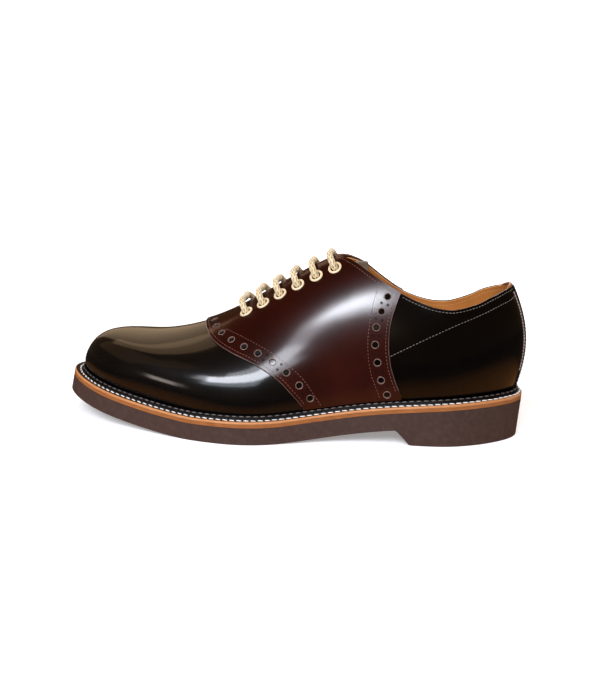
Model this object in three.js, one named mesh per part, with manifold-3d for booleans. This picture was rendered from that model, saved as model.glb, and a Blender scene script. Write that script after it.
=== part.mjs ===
// Left saddle shoe: welted leather upper with a laced saddle over a moulded rubber sole.
// Millimetres, Z up. While it is drawn, "along" runs from the back of the sole to its toe,
// and "across" is negative on the outer side of the foot. The toe points to -X in the end.
import * as THREE from 'three';
import * as BufferGeometryUtils from 'three/addons/utils/BufferGeometryUtils.js';
import Module from 'manifold-3d';

const wasm = await Module();
wasm.setup();

// Main sizes of the shoe
const soleLength = 300;
const ballWidth = 110.6;
const instepHeight = 112;
const heelHeight = 94;
const heelPush = 8.4;
const clearance = 0.3;

// Sole and welt
const outsoleThickness = 10.6;
const midsoleThickness = 1.6;
const weltThickness = 1.6;
const weltReach = 7.5;
const weltChamfer = 0.8;
const weltInnerMargin = 5;
const ribHeight = 2.5;
const ribThickness = 1.5;
const ribGap = 1.0;
const archRise = 13.4;
const archEnd = 0.54;
const archPower = 1.4;
const toeSpring = 14.8;
const springStart = 0.67;
const springPower = 1.5;
const heelBreast = 70;
const breastSlant = 8.5;
const heelTaper = 0.04;
const taperRun = 30;
const heelMiddle = 36;
const insoleThickness = 3;

// Upper
const upperWall = 2.4;
const saddleThickness = 1.4;
const saddleGap = 0.45;
const backstayThickness = 1.2;
const backstayWidth = 10;
const seamStep = 0.04;
const tongueThickness = 2.4;
const tongueWidth = 56;
const tongueRise = 17;
const tongueRound = 0.35;

// Lacing
const eyeletPairs = 6;
const eyeletOuter = 8.8;
const eyeletHole = 4.8;
const eyeletHeight = 1.1;
const eyeletBarrelWall = 0.5;
const eyeletCrown = { at: 0.65, lip: 0.7, depth: 0.6 };
const laceDiameter = 4;

// How the lace runs by an eyelet: the lift of its last turn and its shifts towards the slit
const laceTurn = { low: 0.35, lift: 0.8, sag: 0.6, near: 0.14, edge: 0.85 };

// Number of steps in the faceted forms
const soleSteps = 40;
const upperRows = 8;
const saddleColumns = 20;
const saddleRows = 10;
const ringSides = 10;
const holeSides = 8;
const laceSides = 6;
const tongueColumns = 15;
const tongueRows = 8;
const columnStep = 0.036;
const placeCrowding = 0.035;

// Sole outline: reach of the outer and inner side at each share of the length, in ball widths
const soleRows = [
  { along: 0.000, outer: 0.000, inner: 0.000 },
  { along: 0.043, outer: 0.212, inner: 0.245 },
  { along: 0.160, outer: 0.373, inner: 0.322 },
  { along: 0.300, outer: 0.386, inner: 0.318 },
  { along: 0.433, outer: 0.437, inner: 0.332 },
  { along: 0.560, outer: 0.534, inner: 0.400 },
  { along: 0.690, outer: 0.496, inner: 0.463 },
  { along: 0.818, outer: 0.396, inner: 0.448 },
  { along: 0.926, outer: 0.262, inner: 0.318 },
  { along: 1.000, outer: -0.020, inner: 0.020 },
];

// Sections of the last, from the toe tip to the back of the heel. ridge is the top of the
// section in soleLengths, side in ballWidths, rise in instepHeights plus heelRise in
// heelHeights; shoulder and crown fill the section out, push is the outward swell low on
// the side in heelPushes, and welt is the reach of the welt in weltReaches.
const lastRows = [
  { ridge: 0.000, side: 0.000, rise: 0.000, heelRise: 0, shoulder: 0.10, crown: 0.10, push: 0.00, welt: 1.00 },
  { ridge: 0.962, side: 0.009, rise: 0.334, heelRise: 0, shoulder: 0.10, crown: 0.15, push: 0.12, welt: 0.96 },
  { ridge: 0.916, side: 0.024, rise: 0.473, heelRise: 0, shoulder: 0.12, crown: 0.20, push: 0.22, welt: 0.92 },
  { ridge: 0.807, side: 0.039, rise: 0.492, heelRise: 0, shoulder: 0.12, crown: 0.22, push: 0.25, welt: 0.88 },
  { ridge: 0.657, side: 0.042, rise: 0.590, heelRise: 0, shoulder: 0.06, crown: 0.12, push: 0.19, welt: 0.85 },
  { ridge: 0.517, side: 0.009, rise: 0.800, heelRise: 0, shoulder: 0.02, crown: 0.02, push: 0.19, welt: 0.83 },
  { ridge: 0.383, side: -0.004, rise: 1.000, heelRise: 0, shoulder: 0.02, crown: 0.02, push: 0.31, welt: 0.80 },
  { ridge: 0.273, side: 0.000, rise: 0.540, heelRise: 0.665, shoulder: 0.05, crown: 0.04, push: 0.54, welt: 0.80 },
  { ridge: 0.203, side: 0.005, rise: 0.000, heelRise: 1.350, shoulder: 0.10, crown: 0.08, push: 0.68, welt: 0.80 },
  { ridge: 0.163, side: 0.011, rise: 0.000, heelRise: 1.360, shoulder: 0.12, crown: 0.10, push: 0.72, welt: 0.73 },
];
const lastSection = lastRows.length - 1;
const toeToHeel = { wallEnd: 0.55, cupStart: 0.80 };

// The swell s c^8 is greatest at a third; this brings its greatest value to one
const swellScale = 4.8;

// Top edge of the upper: angle up the section, in degrees, at each place around.
// Up to the throat both sides meet on the ridge, and the slit behind it is laced.
const topRows = [
  { around: 0.470, up: 90.0 },
  { around: 0.480, up: 87.4 },
  { around: 0.560, up: 85.2 },
  { around: 0.648, up: 83.4 },
  { around: 0.656, up: 79.0 },
  { around: 0.672, up: 66.6 },
  { around: 0.687, up: 56.6 },
  { around: 0.700, up: 50.6 },
  { around: 0.721, up: 43.8 },
  { around: 0.745, up: 38.6 },
  { around: 0.772, up: 35.0 },
  { around: 0.800, up: 33.5 },
  { around: 0.835, up: 34.2 },
  { around: 0.880, up: 36.4 },
  { around: 0.930, up: 38.2 },
  { around: 1.000, up: 39.2 },
];
const throat = topRows[0].around;

// The inner side is cut lower behind the facings, by so many degrees
const innerDrop = [
  { around: 0.676, down: 0 },
  { around: 0.695, down: 3.4 },
  { around: 0.715, down: 4.7 },
  { around: 0.745, down: 4.1 },
  { around: 0.812, down: 1.8 },
  { around: 0.865, down: 0 },
];

// Front and rear edges of the saddle: place around at each angle up the section
const saddleFront = [
  { up: 0, around: 0.558 },
  { up: 12, around: 0.530 },
  { up: 24, around: 0.500 },
  { up: 35, around: 0.467 },
  { up: 43, around: 0.446 },
  { up: 51, around: 0.433 },
  { up: 60, around: 0.427 },
  { up: 75, around: 0.426 },
  { up: 90, around: 0.425 },
];
const saddleRear = [
  { up: 0, around: 0.713 },
  { up: 5, around: 0.704 },
  { up: 10, around: 0.697 },
  { up: 16, around: 0.692 },
  { up: 22, around: 0.691 },
  { up: 31, around: 0.698 },
  { up: 37, around: 0.707 },
  { up: 43.8, around: 0.721 },
];

// Eyelets stand in a row beside the slit, and the tongue lies below the same stretch
const eyeletRow = { first: 0.494, last: 0.640, up: 69 };
const tongueStretch = { front: 0.430, back: 0.652 };

const degrees = Math.PI / 180;
const smooth = (x) => {
  const t = Math.min(1, Math.max(0, x));
  return t * t * (3 - 2 * t);
};
const mix = (a, b, t) => a + (b - a) * t;

// Solves a small linear system by elimination, for the spline moments
function solve(matrix, right) {
  const n = right.length;
  const rows = matrix.map((row, i) => [...row, right[i]]);
  for (let i = 0; i < n; i += 1) {
    for (let k = i + 1; k < n; k += 1) {
      const f = rows[k][i] / rows[i][i];
      for (let j = i; j <= n; j += 1) rows[k][j] -= f * rows[i][j];
    }
  }
  const out = new Array(n).fill(0);
  for (let i = n - 1; i >= 0; i -= 1) {
    let sum = rows[i][n];
    for (let j = i + 1; j < n; j += 1) sum -= rows[i][j] * out[j];
    out[i] = sum / rows[i][i];
  }
  return out;
}

// One span of a cubic spline from its end values and moments
function span(a, b, momentA, momentB, f) {
  const g = 1 - f;
  return a * g + b * f + ((g ** 3 - g) * momentA + (f ** 3 - f) * momentB) / 6;
}

// Closed cubic spline through values at whole numbers
function closedSpline(values) {
  const n = values.length;
  const matrix = values.map((_, i) => values.map((__, j) => {
    if (i === j) return 4;
    return (i + 1) % n === j || (j + 1) % n === i ? 1 : 0;
  }));
  const right = values.map((v, i) => 6 * (values[(i + n - 1) % n] - 2 * v + values[(i + 1) % n]));
  const moments = solve(matrix, right);
  return (u) => {
    const x = ((u % n) + n) % n;
    const i = Math.floor(x) % n;
    const j = (i + 1) % n;
    return span(values[i], values[j], moments[i], moments[j], x - Math.floor(x));
  };
}

// Open cubic spline over 0 to 1 through evenly spaced values; an end is level or free
function openSpline(values, levelStart, levelEnd) {
  const n = values.length;
  const matrix = values.map(() => new Array(n).fill(0));
  const right = new Array(n).fill(0);
  for (let i = 1; i < n - 1; i += 1) {
    matrix[i][i - 1] = 1;
    matrix[i][i] = 4;
    matrix[i][i + 1] = 1;
    right[i] = 6 * (values[i - 1] - 2 * values[i] + values[i + 1]);
  }
  matrix[0][0] = 1;
  matrix[n - 1][n - 1] = 1;
  if (levelStart) {
    matrix[0][0] = 2;
    matrix[0][1] = 1;
    right[0] = 6 * (values[1] - values[0]);
  }
  if (levelEnd) {
    matrix[n - 1][n - 2] = 1;
    matrix[n - 1][n - 1] = 2;
    right[n - 1] = -6 * (values[n - 1] - values[n - 2]);
  }
  const moments = solve(matrix, right);
  return (share) => {
    const x = Math.min(1, Math.max(0, share)) * (n - 1);
    const i = Math.min(Math.floor(x), n - 2);
    return span(values[i], values[i + 1], moments[i], moments[i + 1], x - i);
  };
}

// Straight interpolation in a table of rows
function lookUp(rows, from, to, x) {
  let k = 0;
  while (k < rows.length - 2 && x > rows[k + 1][from]) k += 1;
  const f = (x - rows[k][from]) / (rows[k + 1][from] - rows[k][from]);
  return mix(rows[k][to], rows[k + 1][to], Math.min(1, Math.max(0, f)));
}

// Underside of the sole in side view: a rise to the heel seat, a flat ball and a toe spring
function soleCurve(along) {
  const x = Math.min(1, Math.max(0, along / soleLength));
  const arch = archRise * Math.cos(Math.PI / 2 * Math.min(1, x / archEnd) ** archPower) ** 2;
  const spring = toeSpring * Math.max(0, (x - springStart) / (1 - springStart)) ** springPower;
  return arch + spring;
}

// A point of the sole lifted square to its curve by a height in the stack of layers
function lift(along, across, height) {
  const here = Math.min(soleLength - 0.5, Math.max(0.5, along));
  const slope = soleCurve(here + 0.5) - soleCurve(here - 0.5);
  const run = Math.hypot(1, slope);
  return [along - height * slope / run, across, soleCurve(along) + height / run];
}

const outlineRing = [
  ...soleRows.map((row) => [row.along * soleLength, -row.outer * ballWidth]),
  ...soleRows.slice(1, -1).reverse().map((row) => [row.along * soleLength, row.inner * ballWidth]),
];
const outlineAlong = closedSpline(outlineRing.map((p) => p[0]));
const outlineAcross = closedSpline(outlineRing.map((p) => p[1]));

// Outline of the sole at a place around: 0 at the toe tip, -1 by the outer side and +1 by
// the inner side at the back of the heel. The inset is measured square to the edge.
function outline(around, inset) {
  const u = lastSection * (1 + around);
  const step = 1e-3;
  const da = outlineAlong(u + step) - outlineAlong(u - step);
  const dc = outlineAcross(u + step) - outlineAcross(u - step);
  const size = Math.hypot(da, dc);
  const out = [dc / size, -da / size];
  return { along: outlineAlong(u) - out[0] * inset, across: outlineAcross(u) - out[1] * inset, out };
}

const weltTop = outsoleThickness + midsoleThickness + weltThickness + 2 * clearance;
const weltShare = openSpline(lastRows.map((row) => row.welt), false, false);
const weltWidth = (around) => weltReach * weltShare(Math.abs(around));

// Foot of the upper, just above the welt
function feather(around) {
  const edge = outline(around, weltWidth(around));
  return { point: lift(edge.along, edge.across, weltTop + clearance), out: edge.out };
}

const toeTip = feather(0).point;
const column = (read, tip) => lastRows.map((row, k) => (k === 0 ? tip : read(row)));
const ridgeAlong = openSpline(column((row) => row.ridge * soleLength, toeTip[0]), true, true);
const ridgeAcross = openSpline(column((row) => row.side * ballWidth, toeTip[1]), false, false);
const ridgeRise = (row) => row.rise * instepHeight + row.heelRise * heelHeight;
const ridgeUp = openSpline(column(ridgeRise, toeTip[2]), false, true);
const shoulderAt = openSpline(lastRows.map((row) => row.shoulder), false, false);
const crownAt = openSpline(lastRows.map((row) => row.crown), false, false);
const pushAt = openSpline(lastRows.map((row) => row.push * heelPush), true, true);

// Outside of the upper. Each section climbs from the foot (angle 0) to the ridge (a right
// angle) on a filled-out quarter ellipse, and swells outwards low on the side.
function lastPoint(around, angle) {
  const m = Math.abs(around);
  const { point, out } = feather(around);
  const c = Math.cos(angle);
  const s = Math.sin(angle);
  const side = c * (1 + shoulderAt(m) * s * s);
  const up = s * (1 + crownAt(m) * c * c);
  const cup = smooth((m - toeToHeel.wallEnd) / (toeToHeel.cupStart - toeToHeel.wallEnd));
  const lengthwise = mix(c * c, side, cup);
  const swell = swellScale * pushAt(m) * s * c ** 8;
  return [
    mix(ridgeAlong(m), point[0], lengthwise) + out[0] * swell,
    mix(ridgeAcross(m), point[1], side) + out[1] * swell,
    mix(point[2], ridgeUp(m), up),
  ];
}

const minus = (p, q) => [p[0] - q[0], p[1] - q[1], p[2] - q[2]];
const plus = (p, q, k = 1) => [p[0] + q[0] * k, p[1] + q[1] * k, p[2] + q[2] * k];
const cross = (p, q) => [
  p[1] * q[2] - p[2] * q[1], p[2] * q[0] - p[0] * q[2], p[0] * q[1] - p[1] * q[0],
];
const unit = (p) => {
  const size = Math.hypot(...p);
  return [p[0] / size, p[1] / size, p[2] / size];
};

// Direction out of the upper at a place on it
function lastNormal(around, angle) {
  const m = Math.sign(around || -1) * Math.min(0.998, Math.max(0.004, Math.abs(around)));
  const w = Math.min(Math.PI / 2, Math.max(0.004, angle));
  const alongSkin = minus(lastPoint(m + 0.002, w), lastPoint(m - 0.002, w));
  const upSkin = minus(lastPoint(m, w + 0.002), lastPoint(m, w - 0.002));
  return unit(cross(alongSkin, upSkin));
}

// A point off the outside of the upper, outwards when the distance is positive
function skin(around, angle, distance) {
  return plus(lastPoint(around, angle), lastNormal(around, angle), distance);
}

const dropAt = (around) => (around > 0 ? lookUp(innerDrop, 'around', 'down', around) : 0);
const topAngle = (around) => (
  (lookUp(topRows, 'around', 'up', Math.abs(around)) - dropAt(around)) * degrees
);

// Builds a mesh geometry from points named by a key, so that shared points stay shared
function meshBuilder() {
  const points = [];
  const index = new Map();
  const faces = [];
  const vertex = (key, make) => {
    if (!index.has(key)) {
      const [along, across, up] = make();
      index.set(key, points.length / 3);
      points.push(-along, across, up);
    }
    return index.get(key);
  };
  const triangle = (a, b, c) => {
    if (a !== b && b !== c && c !== a) faces.push(a, b, c);
  };
  const quad = (a, b, c, d) => {
    triangle(a, b, c);
    triangle(a, c, d);
  };
  // Turns the whole surface so that its faces point out, by the sign of its volume
  const build = () => {
    const corner = (i) => points.slice(3 * i, 3 * i + 3);
    let volume = 0;
    for (let f = 0; f < faces.length; f += 3) {
      const [p, q, r] = [corner(faces[f]), corner(faces[f + 1]), corner(faces[f + 2])];
      const n = cross(q, r);
      volume += p[0] * n[0] + p[1] * n[1] + p[2] * n[2];
    }
    if (volume < 0) faces.reverse();
    const geometry = new THREE.BufferGeometry();
    geometry.setAttribute('position', new THREE.Float32BufferAttribute(points, 3));
    geometry.setIndex(faces);
    return geometry;
  };
  return { vertex, quad, triangle, build };
}

// Closed solid between two rings of points; the caps are strips from side to side
function slab(lower, upper) {
  const mesh = meshBuilder();
  const n = lower.length;
  const id = (layer, i) => {
    const k = (i + n) % n;
    return mesh.vertex(`${layer} ${k}`, () => (layer === 0 ? lower[k] : upper[k]));
  };
  for (let i = 0; i < n; i += 1) mesh.quad(id(0, i), id(0, i + 1), id(1, i + 1), id(1, i));
  for (let i = 0; i < n / 2; i += 1) {
    mesh.quad(id(0, i), id(0, -i), id(0, -i - 1), id(0, i + 1));
    mesh.quad(id(1, i), id(1, i + 1), id(1, -i - 1), id(1, -i));
  }
  return mesh.build();
}

// Closed solid of one profile of points carried around a closed ring of places
function ringSolid(places, profile) {
  const mesh = meshBuilder();
  const sections = places.map(profile);
  const n = places.length;
  const m = sections[0].length;
  const id = (i, j) => mesh.vertex(`${i % n} ${j % m}`, () => sections[i % n][j % m]);
  for (let i = 0; i < n; i += 1) {
    for (let j = 0; j < m; j += 1) mesh.quad(id(i, j), id(i + 1, j), id(i + 1, j + 1), id(i, j + 1));
  }
  return mesh.build();
}

// Places around the shoe from the heel by the outer side to the toe and back, denser
// where the outline turns fast
const halfPlaces = Array.from({ length: soleSteps + 1 }, (_, i) => {
  const x = i / soleSteps;
  return 1 - x - placeCrowding * Math.sin(2 * Math.PI * x);
});
const placesAround = [
  ...halfPlaces.map((m) => -m),
  ...halfPlaces.slice(1, -1).reverse(),
];

// Finds the place around where the outline passes a distance along the shoe
function placeAt(along, side) {
  let near = 1;
  let far = 0.3;
  for (let k = 0; k < 50; k += 1) {
    const middle = (near + far) / 2;
    if (outline(side * middle, 0).along < along) near = middle;
    else far = middle;
  }
  return side * (near + far) / 2;
}

function makeOutsole() {
  const breastTop = heelBreast + breastSlant;
  const edges = [heelBreast, breastTop];
  const half = (side) => [
    ...halfPlaces.map((m) => side * m).filter((s) => {
      const along = outline(s, 0).along;
      return along < heelBreast - 1 || along > breastTop + 1;
    }),
    ...edges.map((along) => placeAt(along, side)),
  ].sort((p, q) => Math.abs(q) - Math.abs(p));
  const outer = half(-1);
  const inner = half(1);
  const ring = [...outer, ...inner.slice(1, -1).reverse()];
  const lower = ring.map((around) => {
    const { along, across } = outline(around, 0);
    if (along > heelBreast + 0.1) return [along, across, soleCurve(along)];
    const taper = 1 - heelTaper * smooth((heelBreast - along) / taperRun);
    return [mix(heelMiddle, along, taper), across * (1 - heelTaper), 0];
  });
  const upper = ring.map((around) => {
    const { along, across } = outline(around, 0);
    return lift(along, across, outsoleThickness);
  });
  return slab(lower, upper);
}

// A flat layer of the sole between two heights of the stack
function makeLayer(inset, low, high) {
  const at = (height) => placesAround.map((around) => {
    const { along, across } = outline(around, inset(around));
    return lift(along, across, height);
  });
  return slab(at(low), at(high));
}

function makeWelt() {
  const bottom = weltTop - weltThickness;
  return ringSolid(placesAround, (around) => {
    const m = Math.abs(around);
    const width = weltWidth(around);
    const rise = ridgeUp(Math.max(0.1, m)) - feather(around).point[2];
    const lean = ribHeight * swellScale * pushAt(m) / (rise * (1 + crownAt(m)));
    const foot = width - ribGap;
    const profile = [
      [0, bottom],
      [0, weltTop - weltChamfer],
      [weltChamfer, weltTop],
      [foot - lean - ribThickness, weltTop],
      [foot - lean - 0.8 * ribThickness, weltTop + ribHeight],
      [foot - lean, weltTop + 0.9 * ribHeight],
      [foot, weltTop],
      [width + upperWall + weltInnerMargin, weltTop],
      [width + upperWall + weltInnerMargin, bottom],
    ];
    return profile.map(([inset, height]) => {
      const edge = outline(around, inset);
      return lift(edge.along, edge.across, height);
    });
  });
}

// Columns of the upper from the toe tip to the heel, closer at the throat and the corner
const upperColumns = topRows.reduce((columns, row) => {
  const from = columns[columns.length - 1];
  const steps = Math.ceil((row.around - from) / columnStep);
  const added = Array.from({ length: steps }, (_, k) => mix(from, row.around, (k + 1) / steps));
  return [...columns, ...added];
}, [0, 0.02]);

// Hollow wall of the upper: outer and inner skins joined along the foot and the top edge
function makeUpper() {
  const mesh = meshBuilder();
  const last = upperColumns.length - 1;
  const id = (layer, side, i, j) => {
    const around = upperColumns[i];
    const onRidge = j === upperRows && around <= throat + 1e-9;
    const tip = i === 0;
    const s = tip || i === last || onRidge ? -1 : side;
    const row = tip ? 0 : j;
    return mesh.vertex(`${layer} ${s} ${i} ${row}`, () => {
      const angle = topAngle(s * around) * row / upperRows;
      if (layer === 0) return lastPoint(s * around, angle);
      const inside = skin(s * around, angle, -upperWall);
      if (row > 0) return inside;
      const edge = outline(s * around, weltWidth(around) + upperWall);
      return lift(edge.along, edge.across, weltTop + clearance);
    });
  };
  for (const side of [-1, 1]) {
    const q = (a, b, c, d) => (side < 0 ? mesh.quad(a, b, c, d) : mesh.quad(d, c, b, a));
    for (let i = 0; i < last; i += 1) {
      for (let j = 0; j < upperRows; j += 1) {
        const corners = [[i, j], [i + 1, j], [i + 1, j + 1], [i, j + 1]];
        q(...corners.map(([a, b]) => id(0, side, a, b)));
        q(...corners.reverse().map(([a, b]) => id(1, side, a, b)));
      }
      q(id(1, side, i, 0), id(1, side, i + 1, 0), id(0, side, i + 1, 0), id(0, side, i, 0));
      if (upperColumns[i] >= throat - 1e-9) {
        const top = upperRows;
        q(id(0, side, i, top), id(0, side, i + 1, top), id(1, side, i + 1, top), id(1, side, i, top));
      }
    }
  }
  return mesh.build();
}

// The saddle's own grid starts this many degrees up, below the rib it is cut at
const saddleFoot = 3;

// Millimetres along the top edge for a unit of place around and for a degree up
const pathScale = { around: 360, up: 0.8 };

// Lowest angle of a piece that lies on the upper, clear of the rib of the welt
function footAngle(around) {
  const m = Math.max(0.05, Math.abs(around));
  const rise = ridgeUp(m) - feather(around).point[2];
  return Math.asin(Math.min(1, (ribHeight + 2 * clearance) / (rise * (1 + crownAt(m)))));
}

const frontAt = (up) => lookUp(saddleFront, 'up', 'around', up);
const rearAt = (up) => lookUp(saddleRear, 'up', 'around', up);
const topPath = [
  { around: frontAt(90), up: 90 },
  ...topRows.filter((row) => row.around <= rearAt(90)),
];
const topShares = topPath.reduce((shares, row, k) => {
  if (k === 0) return [0];
  const before = topPath[k - 1];
  const aroundStep = (row.around - before.around) * pathScale.around;
  const step = Math.hypot(aroundStep, (row.up - before.up) * pathScale.up);
  return [...shares, shares[k - 1] + step];
}, []);

// Saddle columns fall on the corners of its top edge
const saddleShares = topShares.flatMap((end, k) => {
  if (k === 0) return [0];
  const start = topShares[k - 1];
  const total = topShares[topShares.length - 1];
  const steps = Math.max(1, Math.round(saddleColumns * (end - start) / total));
  return Array.from({ length: steps }, (_, i) => mix(start, end, (i + 1) / steps) / total);
});

// Place and angle on the upper for a point of the saddle: u runs from the front edge to
// the rear edge and w from the foot to the top edge
function saddlePlace(u, w) {
  const total = topShares[topShares.length - 1];
  let k = 0;
  while (k < topPath.length - 2 && u * total > topShares[k + 1] + 1e-9) k += 1;
  const f = (u * total - topShares[k]) / (topShares[k + 1] - topShares[k]);
  const top = ['around', 'up'].map((key) => mix(topPath[k][key], topPath[k + 1][key], f));
  const low = saddleFoot;
  const rearTop = saddleRear[saddleRear.length - 1].up;
  const corners = [
    [frontAt(low), low], [rearAt(low), low], [frontAt(90), 90], [rearAt(rearTop), rearTop],
  ];
  const front = [frontAt(mix(low, 90, w)), mix(low, 90, w)];
  const rear = [rearAt(mix(low, rearTop, w)), mix(low, rearTop, w)];
  const foot = [mix(corners[0][0], corners[1][0], u), low];
  const blend = (i) => mix(front[i], rear[i], u) + mix(foot[i], top[i], w)
    - mix(mix(corners[0][i], corners[1][i], u), mix(corners[2][i], corners[3][i], u), w);
  const around = blend(0);
  const bottom = footAngle(around);
  const angle = blend(1) * degrees;
  return { around, angle: w === 0 ? bottom : Math.max(bottom + 0.01 * w, angle) };
}

function makeSaddle() {
  const mesh = meshBuilder();
  const throatShare = topShares[1] / topShares[topShares.length - 1] + 1e-6;
  const last = saddleShares.length - 1;
  const id = (layer, side, i, j) => {
    const u = saddleShares[i];
    const s = j === saddleRows && u <= throatShare ? -1 : side;
    return mesh.vertex(`${layer} ${s} ${i} ${j}`, () => {
      const w = j / saddleRows;
      const { around, angle } = saddlePlace(u, w);
      const drop = dropAt(s * around) * degrees * w ** 3;
      return skin(s * around, angle - drop, saddleGap + (layer === 0 ? saddleThickness : 0));
    });
  };
  for (const side of [-1, 1]) {
    const q = (a, b, c, d) => (side < 0 ? mesh.quad(a, b, c, d) : mesh.quad(d, c, b, a));
    for (let i = 0; i < last; i += 1) {
      for (let j = 0; j < saddleRows; j += 1) {
        const corners = [[i, j], [i + 1, j], [i + 1, j + 1], [i, j + 1]];
        q(...corners.map(([a, b]) => id(0, side, a, b)));
        q(...corners.reverse().map(([a, b]) => id(1, side, a, b)));
      }
      q(id(1, side, i, 0), id(1, side, i + 1, 0), id(0, side, i + 1, 0), id(0, side, i, 0));
      if (saddleShares[i] >= throatShare - 2e-6) {
        const top = saddleRows;
        q(id(0, side, i, top), id(0, side, i + 1, top), id(1, side, i + 1, top), id(1, side, i, top));
      }
    }
    for (let j = 0; j < saddleRows; j += 1) {
      q(id(1, side, 0, j), id(0, side, 0, j), id(0, side, 0, j + 1), id(1, side, 0, j + 1));
      q(id(0, side, last, j), id(1, side, last, j), id(1, side, last, j + 1), id(0, side, last, j + 1));
    }
  }
  return mesh.build();
}

// Closed solid of a sheet: point(i, j, layer) gives its outer and inner skins
function sheet(columns, rows, point) {
  const mesh = meshBuilder();
  const id = (layer, i, j) => mesh.vertex(
    `${layer} ${i} ${j}`, () => point(i / columns, j / rows, layer),
  );
  for (let i = 0; i < columns; i += 1) {
    for (let j = 0; j < rows; j += 1) {
      mesh.quad(id(0, i, j), id(0, i + 1, j), id(0, i + 1, j + 1), id(0, i, j + 1));
      mesh.quad(id(1, i, j + 1), id(1, i + 1, j + 1), id(1, i + 1, j), id(1, i, j));
    }
    mesh.quad(id(1, i, 0), id(1, i + 1, 0), id(0, i + 1, 0), id(0, i, 0));
    mesh.quad(id(0, i, rows), id(0, i + 1, rows), id(1, i + 1, rows), id(1, i, rows));
  }
  for (let j = 0; j < rows; j += 1) {
    mesh.quad(id(1, 0, j), id(0, 0, j), id(0, 0, j + 1), id(1, 0, j + 1));
    mesh.quad(id(0, columns, j), id(1, columns, j), id(1, columns, j + 1), id(0, columns, j + 1));
  }
  return mesh.build();
}

// Narrow strip up the back seam, from the rib to just under the top edge
function makeBackstay() {
  const reachAt = (angle) => {
    const a = lastPoint(seamStep - 1, angle);
    const b = lastPoint(-1, angle);
    return seamStep * (backstayWidth / 2) / Math.hypot(a[0] - b[0], a[1] - b[1]);
  };
  return sheet(4, 10, (u, w, layer) => {
    const angle = mix(footAngle(1), topAngle(1) - 0.5 * degrees, w);
    const turn = (2 * u - 1) * reachAt(angle);
    const around = turn > 0 ? 1 - turn : -1 - turn;
    return skin(around, angle, clearance + (layer === 0 ? backstayThickness : 0));
  });
}

// How deep the outside of the tongue lies below the outside of the upper: it starts close
// under the vamp and sinks below the lace further back
function tongueDepth(around) {
  const close = upperWall + clearance;
  const under = upperWall + laceDiameter + 4 * clearance;
  const share = (around - tongueStretch.front) / (eyeletRow.first - tongueStretch.front);
  return mix(close, under, smooth(share));
}

// The tongue lies under the slit; its last columns stand beyond the facings, round at the end
const tongueForm = { under: 0.8, narrow: 0.86, narrowEnd: 0.6, sectionReach: 0.42, leanStep: 0.03 };

function makeTongue() {
  const { front, back } = tongueStretch;
  const halfAngle = Math.acos(tongueWidth / 2 / (tongueForm.sectionReach * ballWidth));
  const before = lastPoint(tongueForm.leanStep - back, Math.PI / 2);
  const climb = unit(minus(lastPoint(-back, Math.PI / 2), before));
  return sheet(tongueColumns, tongueRows, (u, w, layer) => {
    const around = mix(front, back, Math.min(1, u / tongueForm.under));
    const beyond = Math.max(0, u - tongueForm.under) / (1 - tongueForm.under);
    const narrow = mix(tongueForm.narrow, 1, smooth(u / tongueForm.narrowEnd));
    const spread = (1 - 2 * w) * (Math.PI / 2 - halfAngle) * narrow;
    const side = spread >= 0 ? -1 : 1;
    const depth = tongueDepth(around) + (layer === 0 ? 0 : tongueThickness);
    const point = skin(side * around, Math.PI / 2 - Math.abs(spread), -depth);
    return plus(point, climb, beyond * tongueRise * (1 - tongueRound * (1 - 2 * w) ** 2));
  });
}

// Frame of an eyelet: the centre on the outside of the saddle, the way out of the leather,
// the way up the row and the way to the slit
function eyeletFrame(pair, side) {
  const around = mix(eyeletRow.first, eyeletRow.last, pair / (eyeletPairs - 1));
  const angle = eyeletRow.up * degrees;
  const out = lastNormal(side * around, angle);
  const centre = skin(side * around, angle, saddleGap + saddleThickness);
  const further = lastPoint(side * around, angle + 0.05);
  const towards = unit(minus(further, lastPoint(side * around, angle)));
  return { centre, out, towards };
}

const toWorld = ([along, across, up]) => new THREE.Vector3(-along, across, up);

// Turns a geometry made along +Y so that it stands on a point, facing out
function stand(geometry, frame) {
  const axis = new THREE.Vector3(0, 1, 0);
  const turn = new THREE.Quaternion().setFromUnitVectors(axis, toWorld(frame.out));
  geometry.applyQuaternion(turn);
  const place = toWorld(frame.centre);
  geometry.translate(place.x, place.y, place.z);
  return geometry;
}

function makeEyelet(frame) {
  const hole = eyeletHole / 2;
  const barrel = hole + eyeletBarrelWall;
  const depth = saddleThickness + saddleGap + eyeletCrown.depth * upperWall;
  const profile = [
    [hole, -depth],
    [barrel, -depth],
    [barrel, clearance],
    [eyeletOuter / 2, clearance],
    [mix(hole, eyeletOuter / 2, eyeletCrown.at), clearance + eyeletHeight],
    [hole, clearance + eyeletCrown.lip * eyeletHeight],
    [hole, -depth],
  ];
  const points = profile.map(([r, h]) => new THREE.Vector2(r, h));
  return stand(new THREE.LatheGeometry(points, ringSides), frame);
}

// Boolean helpers
function toSolid(geometry) {
  const clean = geometry.clone();
  clean.deleteAttribute('normal');
  clean.deleteAttribute('uv');
  const merged = BufferGeometryUtils.mergeVertices(clean, 1e-4);
  const source = merged.index.array;
  const kept = [];
  for (let f = 0; f < source.length; f += 3) {
    const [a, b, c] = [source[f], source[f + 1], source[f + 2]];
    if (a !== b && b !== c && c !== a) kept.push(a, b, c);
  }
  return new wasm.Manifold(new wasm.Mesh({
    numProp: 3,
    vertProperties: new Float32Array(merged.attributes.position.array),
    triVerts: new Uint32Array(kept),
  }));
}

function toGeometry(solid) {
  const mesh = solid.getMesh();
  const positions = new THREE.BufferAttribute(new Float32Array(mesh.vertProperties), 3);
  const geometry = new THREE.BufferGeometry();
  geometry.setAttribute('position', positions);
  geometry.setIndex(new THREE.BufferAttribute(new Uint32Array(mesh.triVerts), 1));
  return geometry;
}

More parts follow.
